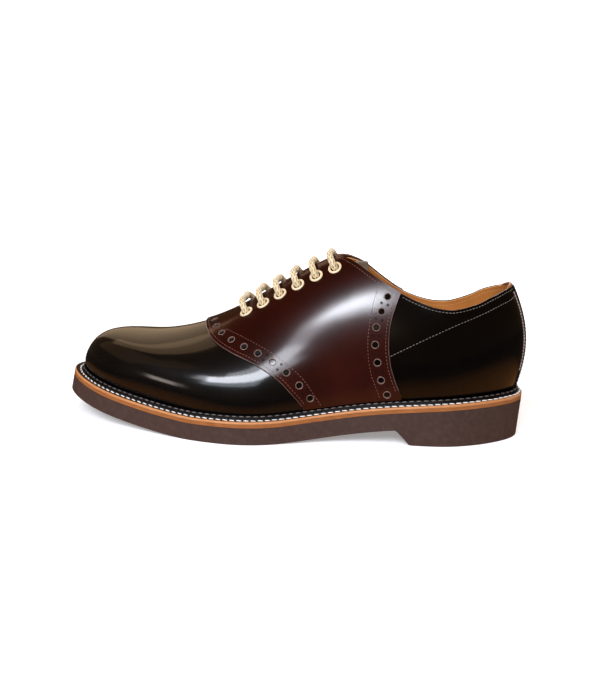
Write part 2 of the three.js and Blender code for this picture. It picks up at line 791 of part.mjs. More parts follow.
const eyelets = [];
for (const [name, side] of [['outer', -1], ['inner', 1]]) {
  for (let pair = 0; pair < eyeletPairs; pair += 1) {
    const frame = eyeletFrame(pair, side);
    eyelets.push({ name: `eyelet_${name}_${pair + 1}`, pair, side, frame });
  }
}

// Cuts the round holes for the eyelet barrels
function punch(geometry) {
  const radius = eyeletHole / 2 + eyeletBarrelWall + clearance;
  let solid = toSolid(geometry);
  for (const { frame } of eyelets) {
    const drill = stand(new THREE.CylinderGeometry(radius, radius, 16, holeSides), frame);
    solid = solid.subtract(toSolid(drill));
  }
  return toGeometry(solid);
}

// A tube along a smooth curve through points of the shoe
function tube(points, diameter, steps) {
  const curve = new THREE.CatmullRomCurve3(points.map(toWorld), false, 'centripetal');
  const round = new THREE.Shape();
  for (let k = 0; k < laceSides; k += 1) {
    const turn = 2 * Math.PI * k / laceSides;
    const [x, y] = [Math.cos(turn) * diameter / 2, Math.sin(turn) * diameter / 2];
    if (k === 0) round.moveTo(x, y);
    else round.lineTo(x, y);
  }
  round.closePath();
  return new THREE.ExtrudeGeometry(round, { steps, extrudePath: curve, curveSegments: 1 });
}

// The lace: a bar over each pair of eyelets, and the run below the facing on either side
function makeLace() {
  const under = -(saddleThickness + saddleGap + upperWall + 2 * clearance + laceDiameter / 2);
  const over = clearance + eyeletHeight + clearance + laceDiameter / 2;
  const frameAt = (pair, side) => eyelets.find((e) => e.pair === pair && e.side === side).frame;
  let lace = null;
  const join = (geometry) => {
    const solid = toSolid(geometry);
    lace = lace ? lace.add(solid) : solid;
  };
  for (let pair = 0; pair < eyeletPairs; pair += 1) {
    const climb = (side) => {
      const { centre, out, towards } = frameAt(pair, side);
      const at = (height, shift) => plus(plus(centre, out, height), towards, shift * eyeletOuter);
      return [
        at(under, 0), at(laceTurn.low * over, 0), at(over, laceTurn.near),
        at(over + laceTurn.lift, laceTurn.edge),
      ];
    };
    const outer = climb(-1);
    const inner = climb(1).reverse();
    const middle = plus(outer[3], minus(inner[0], outer[3]), 0.5);
    const bar = [...outer, plus(middle, [0, 0, laceTurn.sag]), ...inner];
    join(tube(bar, laceDiameter, 12));
  }
  for (const side of [-1, 1]) {
    const row = eyelets.filter((e) => e.side === side);
    join(tube(row.map(({ frame }) => plus(frame.centre, frame.out, under)), laceDiameter, 5));
  }
  return toGeometry(lace);
}

// Finishes, from the leather and rubber of the shoe
const finish = (color, roughness) => new THREE.MeshStandardMaterial({ color, roughness, metalness: 0 });
const finishes = {
  rubber: finish('#4a342c', 0.75),
  naturalLeather: finish('#c07a3c', 0.55),
  weltLeather: finish('#3a2218', 0.35),
  blackLeather: finish('#0c0a09', 0.12),
  burgundyLeather: finish('#42180f', 0.14),
  tanLining: finish('#b3712f', 0.6),
  oliveLeather: finish('#3a2c1c', 0.4),
  creamEnamel: finish('#e8d3ad', 0.35),
  creamCotton: finish('#e6cfa6', 0.9),
};

const shoe = new THREE.Group();
function add(name, geometry, material) {
  const mesh = new THREE.Mesh(geometry, material);
  mesh.name = name;
  shoe.add(mesh);
}

const midsoleBottom = outsoleThickness + clearance;
const insoleBottom = weltTop + clearance;
const insoleInset = (around) => weltWidth(around) + upperWall + 2 * clearance;
add('outsole', makeOutsole(), finishes.rubber);
const midsole = makeLayer(() => 0, midsoleBottom, midsoleBottom + midsoleThickness);
const insole = makeLayer(insoleInset, insoleBottom, insoleBottom + insoleThickness);
add('midsole', midsole, finishes.naturalLeather);
add('welt', makeWelt(), finishes.weltLeather);
add('insole', insole, finishes.tanLining);
add('upper', punch(makeUpper()), finishes.blackLeather);
add('saddle', punch(makeSaddle()), finishes.burgundyLeather);
add('backstay', makeBackstay(), finishes.blackLeather);
add('tongue', makeTongue(), finishes.oliveLeather);
for (const { name, frame } of eyelets) add(name, makeEyelet(frame), finishes.creamEnamel);
add('lace', makeLace(), finishes.creamCotton);

// The origin is on the ground under the middle of the shoe
const box = new THREE.Box3().setFromObject(shoe);
shoe.position.set(-(box.min.x + box.max.x) / 2, -(box.min.y + box.max.y) / 2, -box.min.z);
shoe.updateMatrixWorld(true);

export default shoe;
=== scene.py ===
import math

import bmesh
import bpy
import numpy as np
from mathutils import Matrix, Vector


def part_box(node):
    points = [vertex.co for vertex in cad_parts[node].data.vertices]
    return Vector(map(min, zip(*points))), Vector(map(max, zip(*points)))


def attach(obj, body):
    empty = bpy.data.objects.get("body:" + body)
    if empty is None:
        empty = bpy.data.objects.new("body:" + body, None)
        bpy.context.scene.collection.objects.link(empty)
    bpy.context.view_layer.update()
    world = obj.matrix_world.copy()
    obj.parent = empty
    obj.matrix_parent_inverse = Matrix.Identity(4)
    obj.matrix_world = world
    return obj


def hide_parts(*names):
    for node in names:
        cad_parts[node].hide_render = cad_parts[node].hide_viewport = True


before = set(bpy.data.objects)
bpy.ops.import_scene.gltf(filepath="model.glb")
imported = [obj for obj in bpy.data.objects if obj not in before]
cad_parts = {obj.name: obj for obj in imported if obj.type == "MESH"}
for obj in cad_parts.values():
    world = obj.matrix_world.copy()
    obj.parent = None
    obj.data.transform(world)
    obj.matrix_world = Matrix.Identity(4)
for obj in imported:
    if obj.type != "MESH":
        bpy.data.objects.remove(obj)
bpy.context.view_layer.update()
print("frame loaded")

# The last and the sole, in millimetres. "along" runs from the heel to the toe, "across" is
# negative on the outer side of the foot, as in the source of the part.
shoe = {
    "length": 300.0, "ballWidth": 110.6, "instepHeight": 112.0, "heelHeight": 94.0,
    "heelPush": 8.4, "archRise": 13.4, "archEnd": 0.54, "archPower": 1.4,
    "toeSpring": 14.8, "springStart": 0.67, "springPower": 1.5,
    "wallEnd": 0.55, "cupStart": 0.80, "swell": 4.8,
}
stack = {
    "outsole": 10.6, "midsole": 1.6, "welt": 1.6, "gap": 0.3, "weltReach": 7.5,
    "insole": 3.0, "wall": 2.4,
}

# Reach of the sole on the outer and the inner side, in ball widths, at shares of its length
soleRows = [
    (0.000, 0.000, 0.000), (0.043, 0.212, 0.245), (0.160, 0.373, 0.322), (0.300, 0.386, 0.318),
    (0.433, 0.437, 0.332), (0.560, 0.534, 0.400), (0.690, 0.496, 0.463), (0.818, 0.396, 0.448),
    (0.926, 0.262, 0.318), (1.000, -0.020, 0.020),
]
# Sections of the last from the toe tip to the heel: place and height of the ridge, fullness
# of the section, swell low on the side and reach of the welt
lastRows = {
    "ridge": [0.000, 0.962, 0.916, 0.807, 0.657, 0.517, 0.383, 0.273, 0.203, 0.163],
    "side": [0.000, 0.009, 0.024, 0.039, 0.042, 0.009, -0.004, 0.000, 0.005, 0.011],
    "rise": [0.000, 0.334, 0.473, 0.492, 0.590, 0.800, 1.000, 0.540, 0.000, 0.000],
    "heelRise": [0, 0, 0, 0, 0, 0, 0, 0.665, 1.350, 1.360],
    "shoulder": [0.10, 0.10, 0.12, 0.12, 0.06, 0.02, 0.02, 0.05, 0.10, 0.12],
    "crown": [0.10, 0.15, 0.20, 0.22, 0.12, 0.02, 0.02, 0.04, 0.08, 0.10],
    "push": [0.00, 0.12, 0.22, 0.25, 0.19, 0.19, 0.31, 0.54, 0.68, 0.72],
    "welt": [1.00, 0.96, 0.92, 0.88, 0.85, 0.83, 0.80, 0.80, 0.80, 0.73],
}
degree = math.pi / 180
# The two sides of the shoe: the outer and the inner
sides = (-1, 1)
# Small steps for slopes, in millimetres, in places of the outline and in shares on the skin
steps = {"sole": 0.5, "outline": 1e-3, "skin": 0.002}


def smooth(x):
    t = np.clip(x, 0, 1)
    return t * t * (3 - 2 * t)


def mix(a, b, t):
    return a + (b - a) * t


# Cubic spline over whole numbers from its values and second differences
def splineValue(values, moments, x):
    i = np.clip(np.floor(x).astype(int), 0, len(values) - 2)
    f = x - i
    g = 1 - f
    bend = ((g**3 - g) * moments[i] + (f**3 - f) * moments[i + 1]) / 6
    return values[i] * g + values[i + 1] * f + bend


def closedSpline(values):
    values = np.array(values, float)
    one = np.eye(len(values))
    matrix = 4 * one + np.roll(one, 1, 0) + np.roll(one, -1, 0)
    bend = 6 * (np.roll(values, 1) - 2 * values + np.roll(values, -1))
    moments = np.linalg.solve(matrix, bend)
    ring = np.append(values, values[0])
    ringMoments = np.append(moments, moments[0])
    return lambda u: splineValue(ring, ringMoments, np.mod(u, len(values)))


# Open spline over 0 to 1; an end is level, or free with no bend
def openSpline(values, levelStart, levelEnd):
    values = np.array(values, float)
    n = len(values)
    matrix = np.eye(n)
    right = np.zeros(n)
    for i in range(1, n - 1):
        matrix[i, i - 1:i + 2] = (1, 4, 1)
        right[i] = 6 * (values[i - 1] - 2 * values[i] + values[i + 1])
    if levelStart:
        matrix[0, :2] = (2, 1)
        right[0] = 6 * (values[1] - values[0])
    if levelEnd:
        matrix[-1, -2:] = (1, 2)
        right[-1] = 6 * (values[-2] - values[-1])
    moments = np.linalg.solve(matrix, right)
    return lambda share: splineValue(values, moments, np.clip(share, 0, 1) * (n - 1))


# Smooth curve through the points of a table, with no overshoot between them
def through(xs, ys):
    xs = np.array(xs, float)
    ys = np.array(ys, float)
    rates = np.diff(ys) / np.diff(xs)
    slopes = np.concatenate([[rates[0]], np.zeros(len(xs) - 2), [rates[-1]]])
    same = rates[1:] * rates[:-1] > 0
    product = 2 * rates[1:] * rates[:-1] / np.where(same, rates[1:] + rates[:-1], 1)
    slopes[1:-1] = np.where(same, product, 0)

    def value(x):
        x = np.clip(x, xs[0], xs[-1])
        i = np.clip(np.searchsorted(xs, x) - 1, 0, len(xs) - 2)
        h = xs[i + 1] - xs[i]
        t = (x - xs[i]) / h
        rise = t * t * (3 - 2 * t)
        start = t * (1 - t) ** 2 * h * slopes[i]
        end = t * t * (t - 1) * h * slopes[i + 1]
        return mix(ys[i], ys[i + 1], rise) + start + end

    return value


# Underside of the sole in side view: the rise to the heel seat and the toe spring
def soleCurve(along):
    x = np.clip(along / shoe["length"], 0, 1)
    turn = math.pi / 2 * np.minimum(1, x / shoe["archEnd"]) ** shoe["archPower"]
    spring = np.maximum(0, (x - shoe["springStart"]) / (1 - shoe["springStart"]))
    return shoe["archRise"] * np.cos(turn) ** 2 + shoe["toeSpring"] * spring ** shoe["springPower"]


# A point of the sole lifted square to its curve by a height in the stack of layers
def lift(along, across, height):
    step = steps["sole"]
    here = np.clip(along, step, shoe["length"] - step)
    slope = (soleCurve(here + step) - soleCurve(here - step)) / (2 * step)
    run = np.hypot(1, slope)
    return np.stack([along - height * slope / run, across + 0 * slope,
                     soleCurve(along) + height / run], -1)


halfRing = len(soleRows) - 1
ring = [(a, -o) for a, o, i in soleRows] + [(a, i) for a, o, i in soleRows[-2:0:-1]]
outlineAlong = closedSpline([a * shoe["length"] for a, c in ring])
outlineAcross = closedSpline([c * shoe["ballWidth"] for a, c in ring])


# Edge of the sole: 0 at the toe tip, -1 by the outer and +1 by the inner side at the heel.
# The inset is square to the edge.
def outline(around, inset):
    u = halfRing * (1 + np.asarray(around, float))
    step = steps["outline"]
    da = outlineAlong(u + step) - outlineAlong(u - step)
    dc = outlineAcross(u + step) - outlineAcross(u - step)
    size = np.hypot(da, dc)
    outAlong = dc / size
    outAcross = -da / size
    return (outlineAlong(u) - outAlong * inset, outlineAcross(u) - outAcross * inset,
            outAlong, outAcross)


weltTop = stack["outsole"] + stack["midsole"] + stack["welt"] + 2 * stack["gap"]
weltShare = openSpline(lastRows["welt"], False, False)


def weltWidth(around):
    return stack["weltReach"] * weltShare(np.abs(around))


# Foot of the upper, just above the welt
def feather(around):
    along, across, outAlong, outAcross = outline(around, weltWidth(around))
    return lift(along, across, weltTop + stack["gap"]), outAlong, outAcross


toeTip = feather(np.array(0.0))[0]
rises = np.array(lastRows["rise"]) * shoe["instepHeight"]
rises = rises + np.array(lastRows["heelRise"]) * shoe["heelHeight"]
ridgeAlong = openSpline([toeTip[0]] + [v * shoe["length"] for v in lastRows["ridge"][1:]], True, True)
ridgeAcross = openSpline([toeTip[1]] + [v * shoe["ballWidth"] for v in lastRows["side"][1:]],
                         False, False)
ridgeUp = openSpline([toeTip[2]] + list(rises[1:]), False, True)
shoulderAt = openSpline(lastRows["shoulder"], False, False)
crownAt = openSpline(lastRows["crown"], False, False)
pushAt = openSpline([v * shoe["heelPush"] for v in lastRows["push"]], True, True)


# Outside of the upper. Each section climbs from the foot (angle 0) to the ridge (a right
# angle) on a filled-out quarter ellipse, and swells outwards low on the side.
def lastPoint(around, angle):
    around, angle = np.broadcast_arrays(np.asarray(around, float), np.asarray(angle, float))
    m = np.abs(around)
    point, outAlong, outAcross = feather(around)
    c = np.cos(angle)
    s = np.sin(angle)
    side = c * (1 + shoulderAt(m) * s * s)
    up = s * (1 + crownAt(m) * c * c)
    cup = smooth((m - shoe["wallEnd"]) / (shoe["cupStart"] - shoe["wallEnd"]))
    lengthwise = mix(c * c, side, cup)
    swell = shoe["swell"] * pushAt(m) * s * c**8
    return np.stack([
        mix(ridgeAlong(m), point[..., 0], lengthwise) + outAlong * swell,
        mix(ridgeAcross(m), point[..., 1], side) + outAcross * swell,
        mix(point[..., 2], ridgeUp(m), up),
    ], -1)


def unit(v):
    return v / np.linalg.norm(v, axis=-1, keepdims=True)


# Distance run along a path at each of its points
def runAlong(points):
    return np.concatenate([[0], np.cumsum(np.linalg.norm(np.diff(points, axis=0), axis=1))])


# Ways on the skin for a small change of place and of angle
def skinWays(around, angle):
    around, angle = np.broadcast_arrays(np.asarray(around, float), np.asarray(angle, float))
    step = steps["skin"]
    m = np.where(around < 0, -1, 1) * np.clip(np.abs(around), 2 * step, 1 - step)
    w = np.clip(angle, 2 * step, math.pi / 2)
    alongWay = (lastPoint(m + step, w) - lastPoint(m - step, w)) / (2 * step)
    upWay = (lastPoint(m, w + step) - lastPoint(m, w - step)) / (2 * step)
    return alongWay, upWay


def lastNormal(around, angle):
    return unit(np.cross(*skinWays(around, angle)))


def skin(around, angle, distance):
    return lastPoint(around, angle) + lastNormal(around, angle) * np.asarray(distance)[..., None]


# Top edge of the upper: place around and degrees up
topRows = [
    (0.470, 90.0), (0.480, 87.4), (0.560, 85.2), (0.648, 83.4), (0.656, 79.0), (0.672, 66.6),
    (0.687, 56.6), (0.700, 50.6), (0.721, 43.8), (0.745, 38.6), (0.772, 35.0), (0.800, 33.5),
    (0.835, 34.2), (0.880, 36.4), (0.930, 38.2), (1.000, 39.2),
]
throat = topRows[0][0]
topDegrees = through(*zip(*topRows))
# The inner side is cut lower behind the facings, by so many degrees
innerDrop = [(0.676, 0), (0.695, 3.4), (0.715, 4.7), (0.745, 4.1), (0.812, 1.8), (0.865, 0)]
dropDegrees = through(*zip(*innerDrop))


def dropAt(around):
    return np.where(np.asarray(around) > 0, dropDegrees(np.abs(around)), 0)


def topAngle(around):
    return (topDegrees(np.abs(around)) - dropAt(around)) * degree


# Places in the world: the toe points to -X, and the sole's box says where the middle is
soleLow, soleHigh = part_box("outsole")
soleAlong, soleAcross = outline(np.linspace(-1, 1, 2001), 0)[:2]
shiftX = soleHigh.x * 1000 - soleAlong.min()
shiftY = (soleLow.y + soleHigh.y) * 500 - (soleAcross.min() + soleAcross.max()) / 2


def toWorld(points):
    points = np.asarray(points, float)
    return np.stack([shiftX - points[..., 0], points[..., 1] + shiftY, points[..., 2]], -1) / 1000


def addObject(name, data):
    thing = bpy.data.objects.new(name, data)
    bpy.context.scene.collection.objects.link(thing)
    return thing


# Matrix of an object from the ways its axes point and its place
def axesMatrix(right, up, back, place):
    matrix = np.eye(4)
    matrix[:3] = np.stack([right, up, back, place], 1)
    return Matrix(matrix.tolist())


# The camera of the photo: metres, radians and pixels
camera = {
    "place": (0.0672, -0.4760, 0.16007), "yaw": 0.125, "pitch": 0.231, "roll": -0.020,
    "focalPixels": 757.531, "frameHeight": 700, "sensor": 36.0,
}
cosYaw, cosPitch, cosRoll = (math.cos(camera[turn]) for turn in ("yaw", "pitch", "roll"))
sinYaw, sinPitch, sinRoll = (math.sin(camera[turn]) for turn in ("yaw", "pitch", "roll"))
ahead = np.array([-sinYaw * cosPitch, cosYaw * cosPitch, -sinPitch])
levelRight = np.array([cosYaw, sinYaw, 0])
levelUp = np.array([-sinYaw * sinPitch, cosYaw * sinPitch, cosPitch])
lens = bpy.data.cameras.new("camera")
lens.sensor_width = camera["sensor"]
lens.lens = camera["focalPixels"] / camera["frameHeight"] * camera["sensor"]
lens.clip_start = 0.01
viewer = addObject("camera", lens)
viewer.matrix_world = axesMatrix(cosRoll * levelRight - sinRoll * levelUp,
                                 sinRoll * levelRight + cosRoll * levelUp, -ahead, camera["place"])
bpy.context.scene.camera = viewer
print("camera placed")


# Materials. A web colour as the linear values of a node
def linear(colour):
    parts = np.array([int(colour[k:k + 2], 16) / 255 for k in (1, 3, 5)])
    parts = np.where(parts > 0.04045, ((parts + 0.055) / 1.055) ** 2.4, parts / 12.92)
    return (*parts, 1.0)


# Adds a node with its settings; a setting that is an output socket is linked
def addNode(tree, kind, inputs=None, **settings):
    node = tree.nodes.new(kind)
    for name, value in settings.items():
        setattr(node, name, value)
    for key, value in (inputs or {}).items():
        if isinstance(value, bpy.types.NodeSocket):
            tree.links.new(value, node.inputs[key])
        else:
            node.inputs[key].default_value = value
    return node


def ramp(tree, factor, colours, places=(0.3, 0.7)):
    node = addNode(tree, "ShaderNodeValToRGB", {"Fac": factor})
    while len(node.color_ramp.elements) < len(colours):
        node.color_ramp.elements.new(0.5)
    for element, place, colour in zip(node.color_ramp.elements, places, colours):
        element.position = place
        element.color = linear(colour)
    return node.outputs["Color"]


# Noise with a grain of a real size in millimetres
def grain(tree, size, detail, stretch=(1, 1, 1)):
    place = addNode(tree, "ShaderNodeTexCoord").outputs["Object"]
    mapped = addNode(tree, "ShaderNodeMapping", {"Vector": place, "Scale": stretch})
    return addNode(tree, "ShaderNodeTexNoise", {
        "Vector": mapped.outputs["Vector"], "Scale": 1000 / size, "Detail": detail,
        "Roughness": 0.55,
    }).outputs["Fac"]


# Bump of a depth in millimetres, on top of another one or on its own
def bump(tree, height, depth, below=None):
    inputs = {"Height": height, "Strength": 1.0, "Distance": depth / 1000}
    if below:
        inputs["Normal"] = below
    return addNode(tree, "ShaderNodeBump", inputs).outputs["Normal"]


def newMaterial(name, shader):
    material = bpy.data.materials.new(name)
    material.use_nodes = True
    tree = material.node_tree
    principled = tree.nodes["Principled BSDF"]
    for key, value in shader.items():
        principled.inputs[key].default_value = value
    return material, tree, principled


def connect(tree, socket, target):
    tree.links.new(socket, target)


# Polished leather: aniline dye under wax, which gives a dark colour below a clear, slightly
# uneven gloss with fine pores. Sizes and depths are in millimetres.
polish = {
    "roughness": 0.34, "specular": 0.08, "wax": 0.95, "index": 1.5, "patch": 22,
    "poreSize": 0.9, "poreDepth": 0.003, "waveSize": 9, "waveDepth": 0.02,
}


def polishedLeather(name, colours, waxRoughness):
    material, tree, shader = newMaterial(name, {
        "Roughness": polish["roughness"], "Specular IOR Level": polish["specular"],
        "Coat Weight": polish["wax"], "Coat Roughness": waxRoughness, "IOR": polish["index"],
        "Coat IOR": polish["index"],
    })
    connect(tree, ramp(tree, grain(tree, polish["patch"], 4), colours), shader.inputs["Base Color"])
    pores = bump(tree, grain(tree, polish["poreSize"], 4), polish["poreDepth"])
    waves = bump(tree, grain(tree, polish["waveSize"], 2), polish["waveDepth"], pores)
    connect(tree, waves, shader.inputs["Normal"])
    connect(tree, waves, shader.inputs["Coat Normal"])
    return material


# Plain leather, rubber, thread and enamel: patches of a few colours, and a bump with a grain
# of a size and a depth in millimetres
def plainMaterial(name, colours, roughness, size, depth, patch=12, stretch=(1, 1, 1),
                  places=(0.3, 0.7), **more):
    values = {key.replace("_", " "): value for key, value in more.items()}
    material, tree, shader = newMaterial(name, {"Roughness": roughness, **values})
    mottled = ramp(tree, grain(tree, patch, 5, stretch), colours, places)
    connect(tree, mottled, shader.inputs["Base Color"])
    connect(tree, bump(tree, grain(tree, size, 3, stretch), depth), shader.inputs["Normal"])
    return material


blackLeather = polishedLeather("blackPolishedCalf", ("#050404", "#090706"), 0.11)
burgundyLeather = polishedLeather("burgundyPolishedCalf", ("#2e0b05", "#3c0f07"), 0.16)
cutEdge = plainMaterial("cutLeatherEdge", ("#8c5f4c", "#a87f6a"), 0.6, 0.5, 0.05)
blackEdge = plainMaterial("inkedLeatherEdge", ("#14100e", "#2a211c"), 0.4, 0.5, 0.03)
liningLeather = plainMaterial("tanLiningLeather", ("#b87838", "#cc8a45"), 0.5, 0.9, 0.05, 18)
foldLeather = plainMaterial("foldedLining", ("#7d4f2a", "#946237"), 0.45, 0.9, 0.04)
# The outside of the tongue is the tan leather, coloured darker olive-brown as painted shade
tongueLeather = plainMaterial("tanTongueInPaintedShade", ("#4a3b2c", "#5e4c3a"), 0.38, 0.9, 0.03)
rubber = plainMaterial("mouldedBrownRubber", ("#3a2822", "#412d27", "#4a352d"), 0.6, 0.7, 0.05, 3,
                       places=(0.3, 0.5, 0.75))
midsoleLeather = plainMaterial("burnishedMidsoleEdge", ("#8a4e20", "#a5662f"), 0.42, 0.6, 0.04, 6,
                               (1, 1, 6))
weltEdgeLeather = plainMaterial("naturalWeltEdge", ("#b5743f", "#c98a56"), 0.42, 0.6, 0.04, 6,
                                (1, 1, 6))
weltLeather = plainMaterial("waxedWeltLeather", ("#1e130e", "#2f2119"), 0.4, 0.8, 0.04, 8,
                            Specular_IOR_Level=0.3)
ribLeather = plainMaterial("blackWeltRib", ("#060404", "#0d0a08"), 0.5, 0.8, 0.03,
                           Specular_IOR_Level=0.15)
insoleLeather = plainMaterial("tanSockLeather", ("#a8682d", "#ba7936"), 0.55, 1.0, 0.05, 20)
creamEnamel = plainMaterial("creamEyeletEnamel", ("#e6cfa8", "#eedbb8"), 0.3, 1.5, 0.01)
creamCotton = plainMaterial("creamBraidedCotton", ("#ead5a8", "#f6e8ca"), 0.85, 0.35, 0.08, 4,
                            Sheen_Weight=0.2)
whiteThread = plainMaterial("whiteWaxedThread", ("#efe9e2", "#fbf8f4"), 0.5, 0.4, 0.05)
roseThread = plainMaterial("roseBrownThread", ("#6a463b", "#83594c"), 0.5, 0.3, 0.03)
stoneThread = plainMaterial("stoneThread", ("#7c746a", "#968d82"), 0.5, 0.3, 0.03)
heelPink = plainMaterial("palePinkThread", ("#c2a79c", "#d6bdb2"), 0.5, 0.3, 0.03)
greyThread = plainMaterial("darkWaxedThread", ("#4a4442", "#6a6260"), 0.4, 0.3, 0.03)
paleThread = plainMaterial("paleTanThread", ("#cf9f63", "#dcb27c"), 0.5, 0.3, 0.03)
# Pale rims of the holes and edges of the saddle: partly the colour of cut leather, partly a painted
# highlight on the rounded lip
paleRimWithPaintedHighlight = plainMaterial("paleRimWithPaintedHighlight", ("#5a4640", "#7a625a"), 0.2, 0.5, 0.01)
# Near-black dish for the pinholes: painted shade inside the hole, over the black upper below
pinholeShade = plainMaterial("pinholePaintedShade", ("#080403", "#120806"), 0.8, 0.5, 0.02,
                         Specular_IOR_Level=0.15)
# Painted shade: the crevices between the strands of the lace are coloured darker
cottonTree = creamCotton.node_tree
cottonShader = cottonTree.nodes["Principled BSDF"]
creviceShadeShare = addNode(cottonTree, "ShaderNodeAttribute", attribute_name="gap").outputs["Fac"]
cottonWithCreviceShade = addNode(cottonTree, "ShaderNodeMix", {
    0: creviceShadeShare, 6: cottonShader.inputs["Base Color"].links[0].from_socket, 7: linear("#a88b5c"),
}, data_type="RGBA")
connect(cottonTree, cottonWithCreviceShade.outputs[2], cottonShader.inputs["Base Color"])
print("materials made")


# Meshes. Faces over a grid of points, which may close on itself either way
def gridFaces(columns, rows, closedColumns=False, closedRows=False):
    i, j = np.meshgrid(np.arange(columns if closedColumns else columns - 1),
                       np.arange(rows if closedRows else rows - 1), indexing="ij")
    right = (i + 1) % columns
    above = (j + 1) % rows
    return np.stack([i * rows + j, right * rows + j, right * rows + above, i * rows + above],
                    -1).reshape(-1, 4)


# Points that are nearer than this many metres are one
weldDistance = 2e-6


# A smooth mesh becomes a piece of the shoe
def addPiece(name, mesh):
    mesh.polygons.foreach_set("use_smooth", np.ones(len(mesh.polygons), bool))
    mesh.update()
    piece = addObject(name, mesh)
    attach(piece, "root")
    return piece


# Makes a piece from points in millimetres. Faces are turned outwards by the hints, or by the
# sign of the volume when the piece is closed, and points that meet are welded.
def makePiece(name, points, faces, materials, outward=None, faceMaterial=None, weld=True):
    used, faces = np.unique(faces, return_inverse=True)
    faces = faces.reshape(-1, 4)
    world = toWorld(points.reshape(-1, 3)[used])
    corners = world[faces]
    normals = np.cross(corners[:, 2] - corners[:, 0], corners[:, -1] - corners[:, 1])
    if outward is None:
        facing = (normals * (corners.mean(1) - world.mean(0))).sum()
    else:
        hints = outward.reshape(-1, 3)[used][faces].mean(1) * (-1, 1, 1)
        facing = (normals * hints).sum()
    if facing < 0:
        faces = faces[:, ::-1]
    mesh = bpy.data.meshes.new(name)
    mesh.from_pydata(world.tolist(), [], faces.tolist())
    for material in materials:
        mesh.materials.append(material)
    if faceMaterial is not None:
        mesh.polygons.foreach_set("material_index", np.asarray(faceMaterial, np.int32))
    if weld:
        work = bmesh.new()
        work.from_mesh(mesh)
        bmesh.ops.remove_doubles(work, verts=work.verts, dist=weldDistance)
        work.to_mesh(mesh)
        work.free()
    return addPiece(name, mesh)


# Rounds the edges that turn by more than a limit in degrees, by a width in millimetres
def roundEdges(piece, width, limit=50, finish=-1):
    edge = piece.modifiers.new("edge", "BEVEL")
    edge.width = width / 1000
    edge.segments = 2
    edge.limit_method = "ANGLE"
    edge.angle_limit = limit * degree
    edge.harden_normals = True
    edge.material = finish


# Gives a sheet its wall, inwards from the skin, and rounds its cut edge
def thicken(piece, thickness, rounding, rim=0, finish=-1):
    wall = piece.modifiers.new("wall", "SOLIDIFY")
    wall.thickness = thickness / 1000
    wall.offset = -1
    wall.use_even_offset = False
    wall.material_offset_rim = rim
    roundEdges(piece, rounding, finish=finish)


# Closed sheet between an outer and an inner grid of points, joined around its border
def makeShell(name, outer, inner, materials, rounding):
    columns, rows = outer.shape[:2]
    count = columns * rows
    index = np.arange(count).reshape(columns, rows)
    border = np.concatenate([index[:, 0], index[-1, 1:], index[-2::-1, -1], index[0, -2:0:-1]])
    after = np.roll(border, -1)
    skinFaces = gridFaces(columns, rows)
    rim = np.stack([after, border, border + count, after + count], -1)
    faces = np.concatenate([skinFaces, skinFaces[:, ::-1] + count, rim])
    finish = np.repeat([0, len(materials) - 1], [len(skinFaces), len(skinFaces) + len(rim)])
    points = np.concatenate([outer.reshape(-1, 3), inner.reshape(-1, 3)])
    piece = makePiece(name, points, faces, materials, faceMaterial=finish)
    roundEdges(piece, rounding)
    return piece


# Profile of (radius, height) turned about the way out
def turned(profile, turnSides):
    turn = np.arange(turnSides) * 2 * math.pi / turnSides
    return np.stack([
        np.cos(turn)[:, None] * profile[:, 0], np.sin(turn)[:, None] * profile[:, 0],
        0 * turn[:, None] + profile[:, 1],
    ], -1).reshape(-1, 3)


# A stitch: rings of six points between two tips, at shares of its length and its width
threadStations = [(-0.44, 0.62), (-0.2, 1.0), (0.2, 1.0), (0.44, 0.62)]


def threadShape(length, width, height):
    points = [(-length / 2, 0, 0)]
    for place, size in threadStations:
        for k in range(6):
            turn = k * math.pi / 3
            points.append((place * length, math.cos(turn) * size * width / 2,
                           math.sin(turn) * size * height / 2))
    points.append((length / 2, 0, 0))
    last = len(points) - 1
    faces = []
    for k in range(6):
        after = (k + 1) % 6
        faces.append((0, 1 + after, 1 + k))
        for start in range(1, last - 6, 6):
            faces.append((start + k, start + after, start + 6 + after, start + 6 + k))
        faces.append((last - 6 + k, last - 6 + after, last))
    return np.array(points), faces


# Sets copies of a shape on frames: middle, way along, way across and way out
def setOnFrames(shape, middle, alongWay, acrossWay, outWay):
    points = (middle[:, None] + shape[None, :, :1] * alongWay[:, None]
              + shape[None, :, 1:2] * acrossWay[:, None] + shape[None, :, 2:] * outWay[:, None])
    return points.reshape(-1, 3)


# One piece of many copies. The world mirrors the drawing, so faces that point out turn over.
def makeCopies(name, shape, faces, frames, material):
    middle, alongWay, outWay = frames
    points = toWorld(setOnFrames(shape, middle, alongWay, np.cross(outWay, alongWay), outWay))
    facing = 0
    for face in faces:
        p = shape[list(face)]
        facing += np.dot(np.cross(p[1] - p[0], p[-1] - p[0]), p.mean(0))
    offsets = np.arange(len(middle))[:, None] * len(shape)
    allFaces = []
    for face in faces:
        allFaces += (offsets + np.array(face[::-1] if facing > 0 else face)).tolist()
    mesh = bpy.data.meshes.new(name)
    mesh.from_pydata(points.tolist(), [], allFaces)
    mesh.materials.append(material)
    return addPiece(name, mesh)


# Equal steps along a path of many points; gives middles, ways along and ways out
def evenSteps(points, normals, pitch):
    run = runAlong(points)
    count = max(2, int(round(run[-1] / pitch)))
    stops = (np.arange(count) + 0.5) * run[-1] / count
    tangents = np.gradient(points, run, axis=0)
    pick = [np.stack([np.interp(stops, run, part[:, k]) for k in range(3)], -1)
            for part in (points, tangents, normals)]
    alongWay = unit(pick[1])
    outWay = unit(pick[2] - (pick[2] * alongWay).sum(-1, keepdims=True) * alongWay)
    return pick[0], alongWay, outWay


def joinFrames(parts):
    return tuple(np.concatenate([part[k] for part in parts]) for k in range(3))


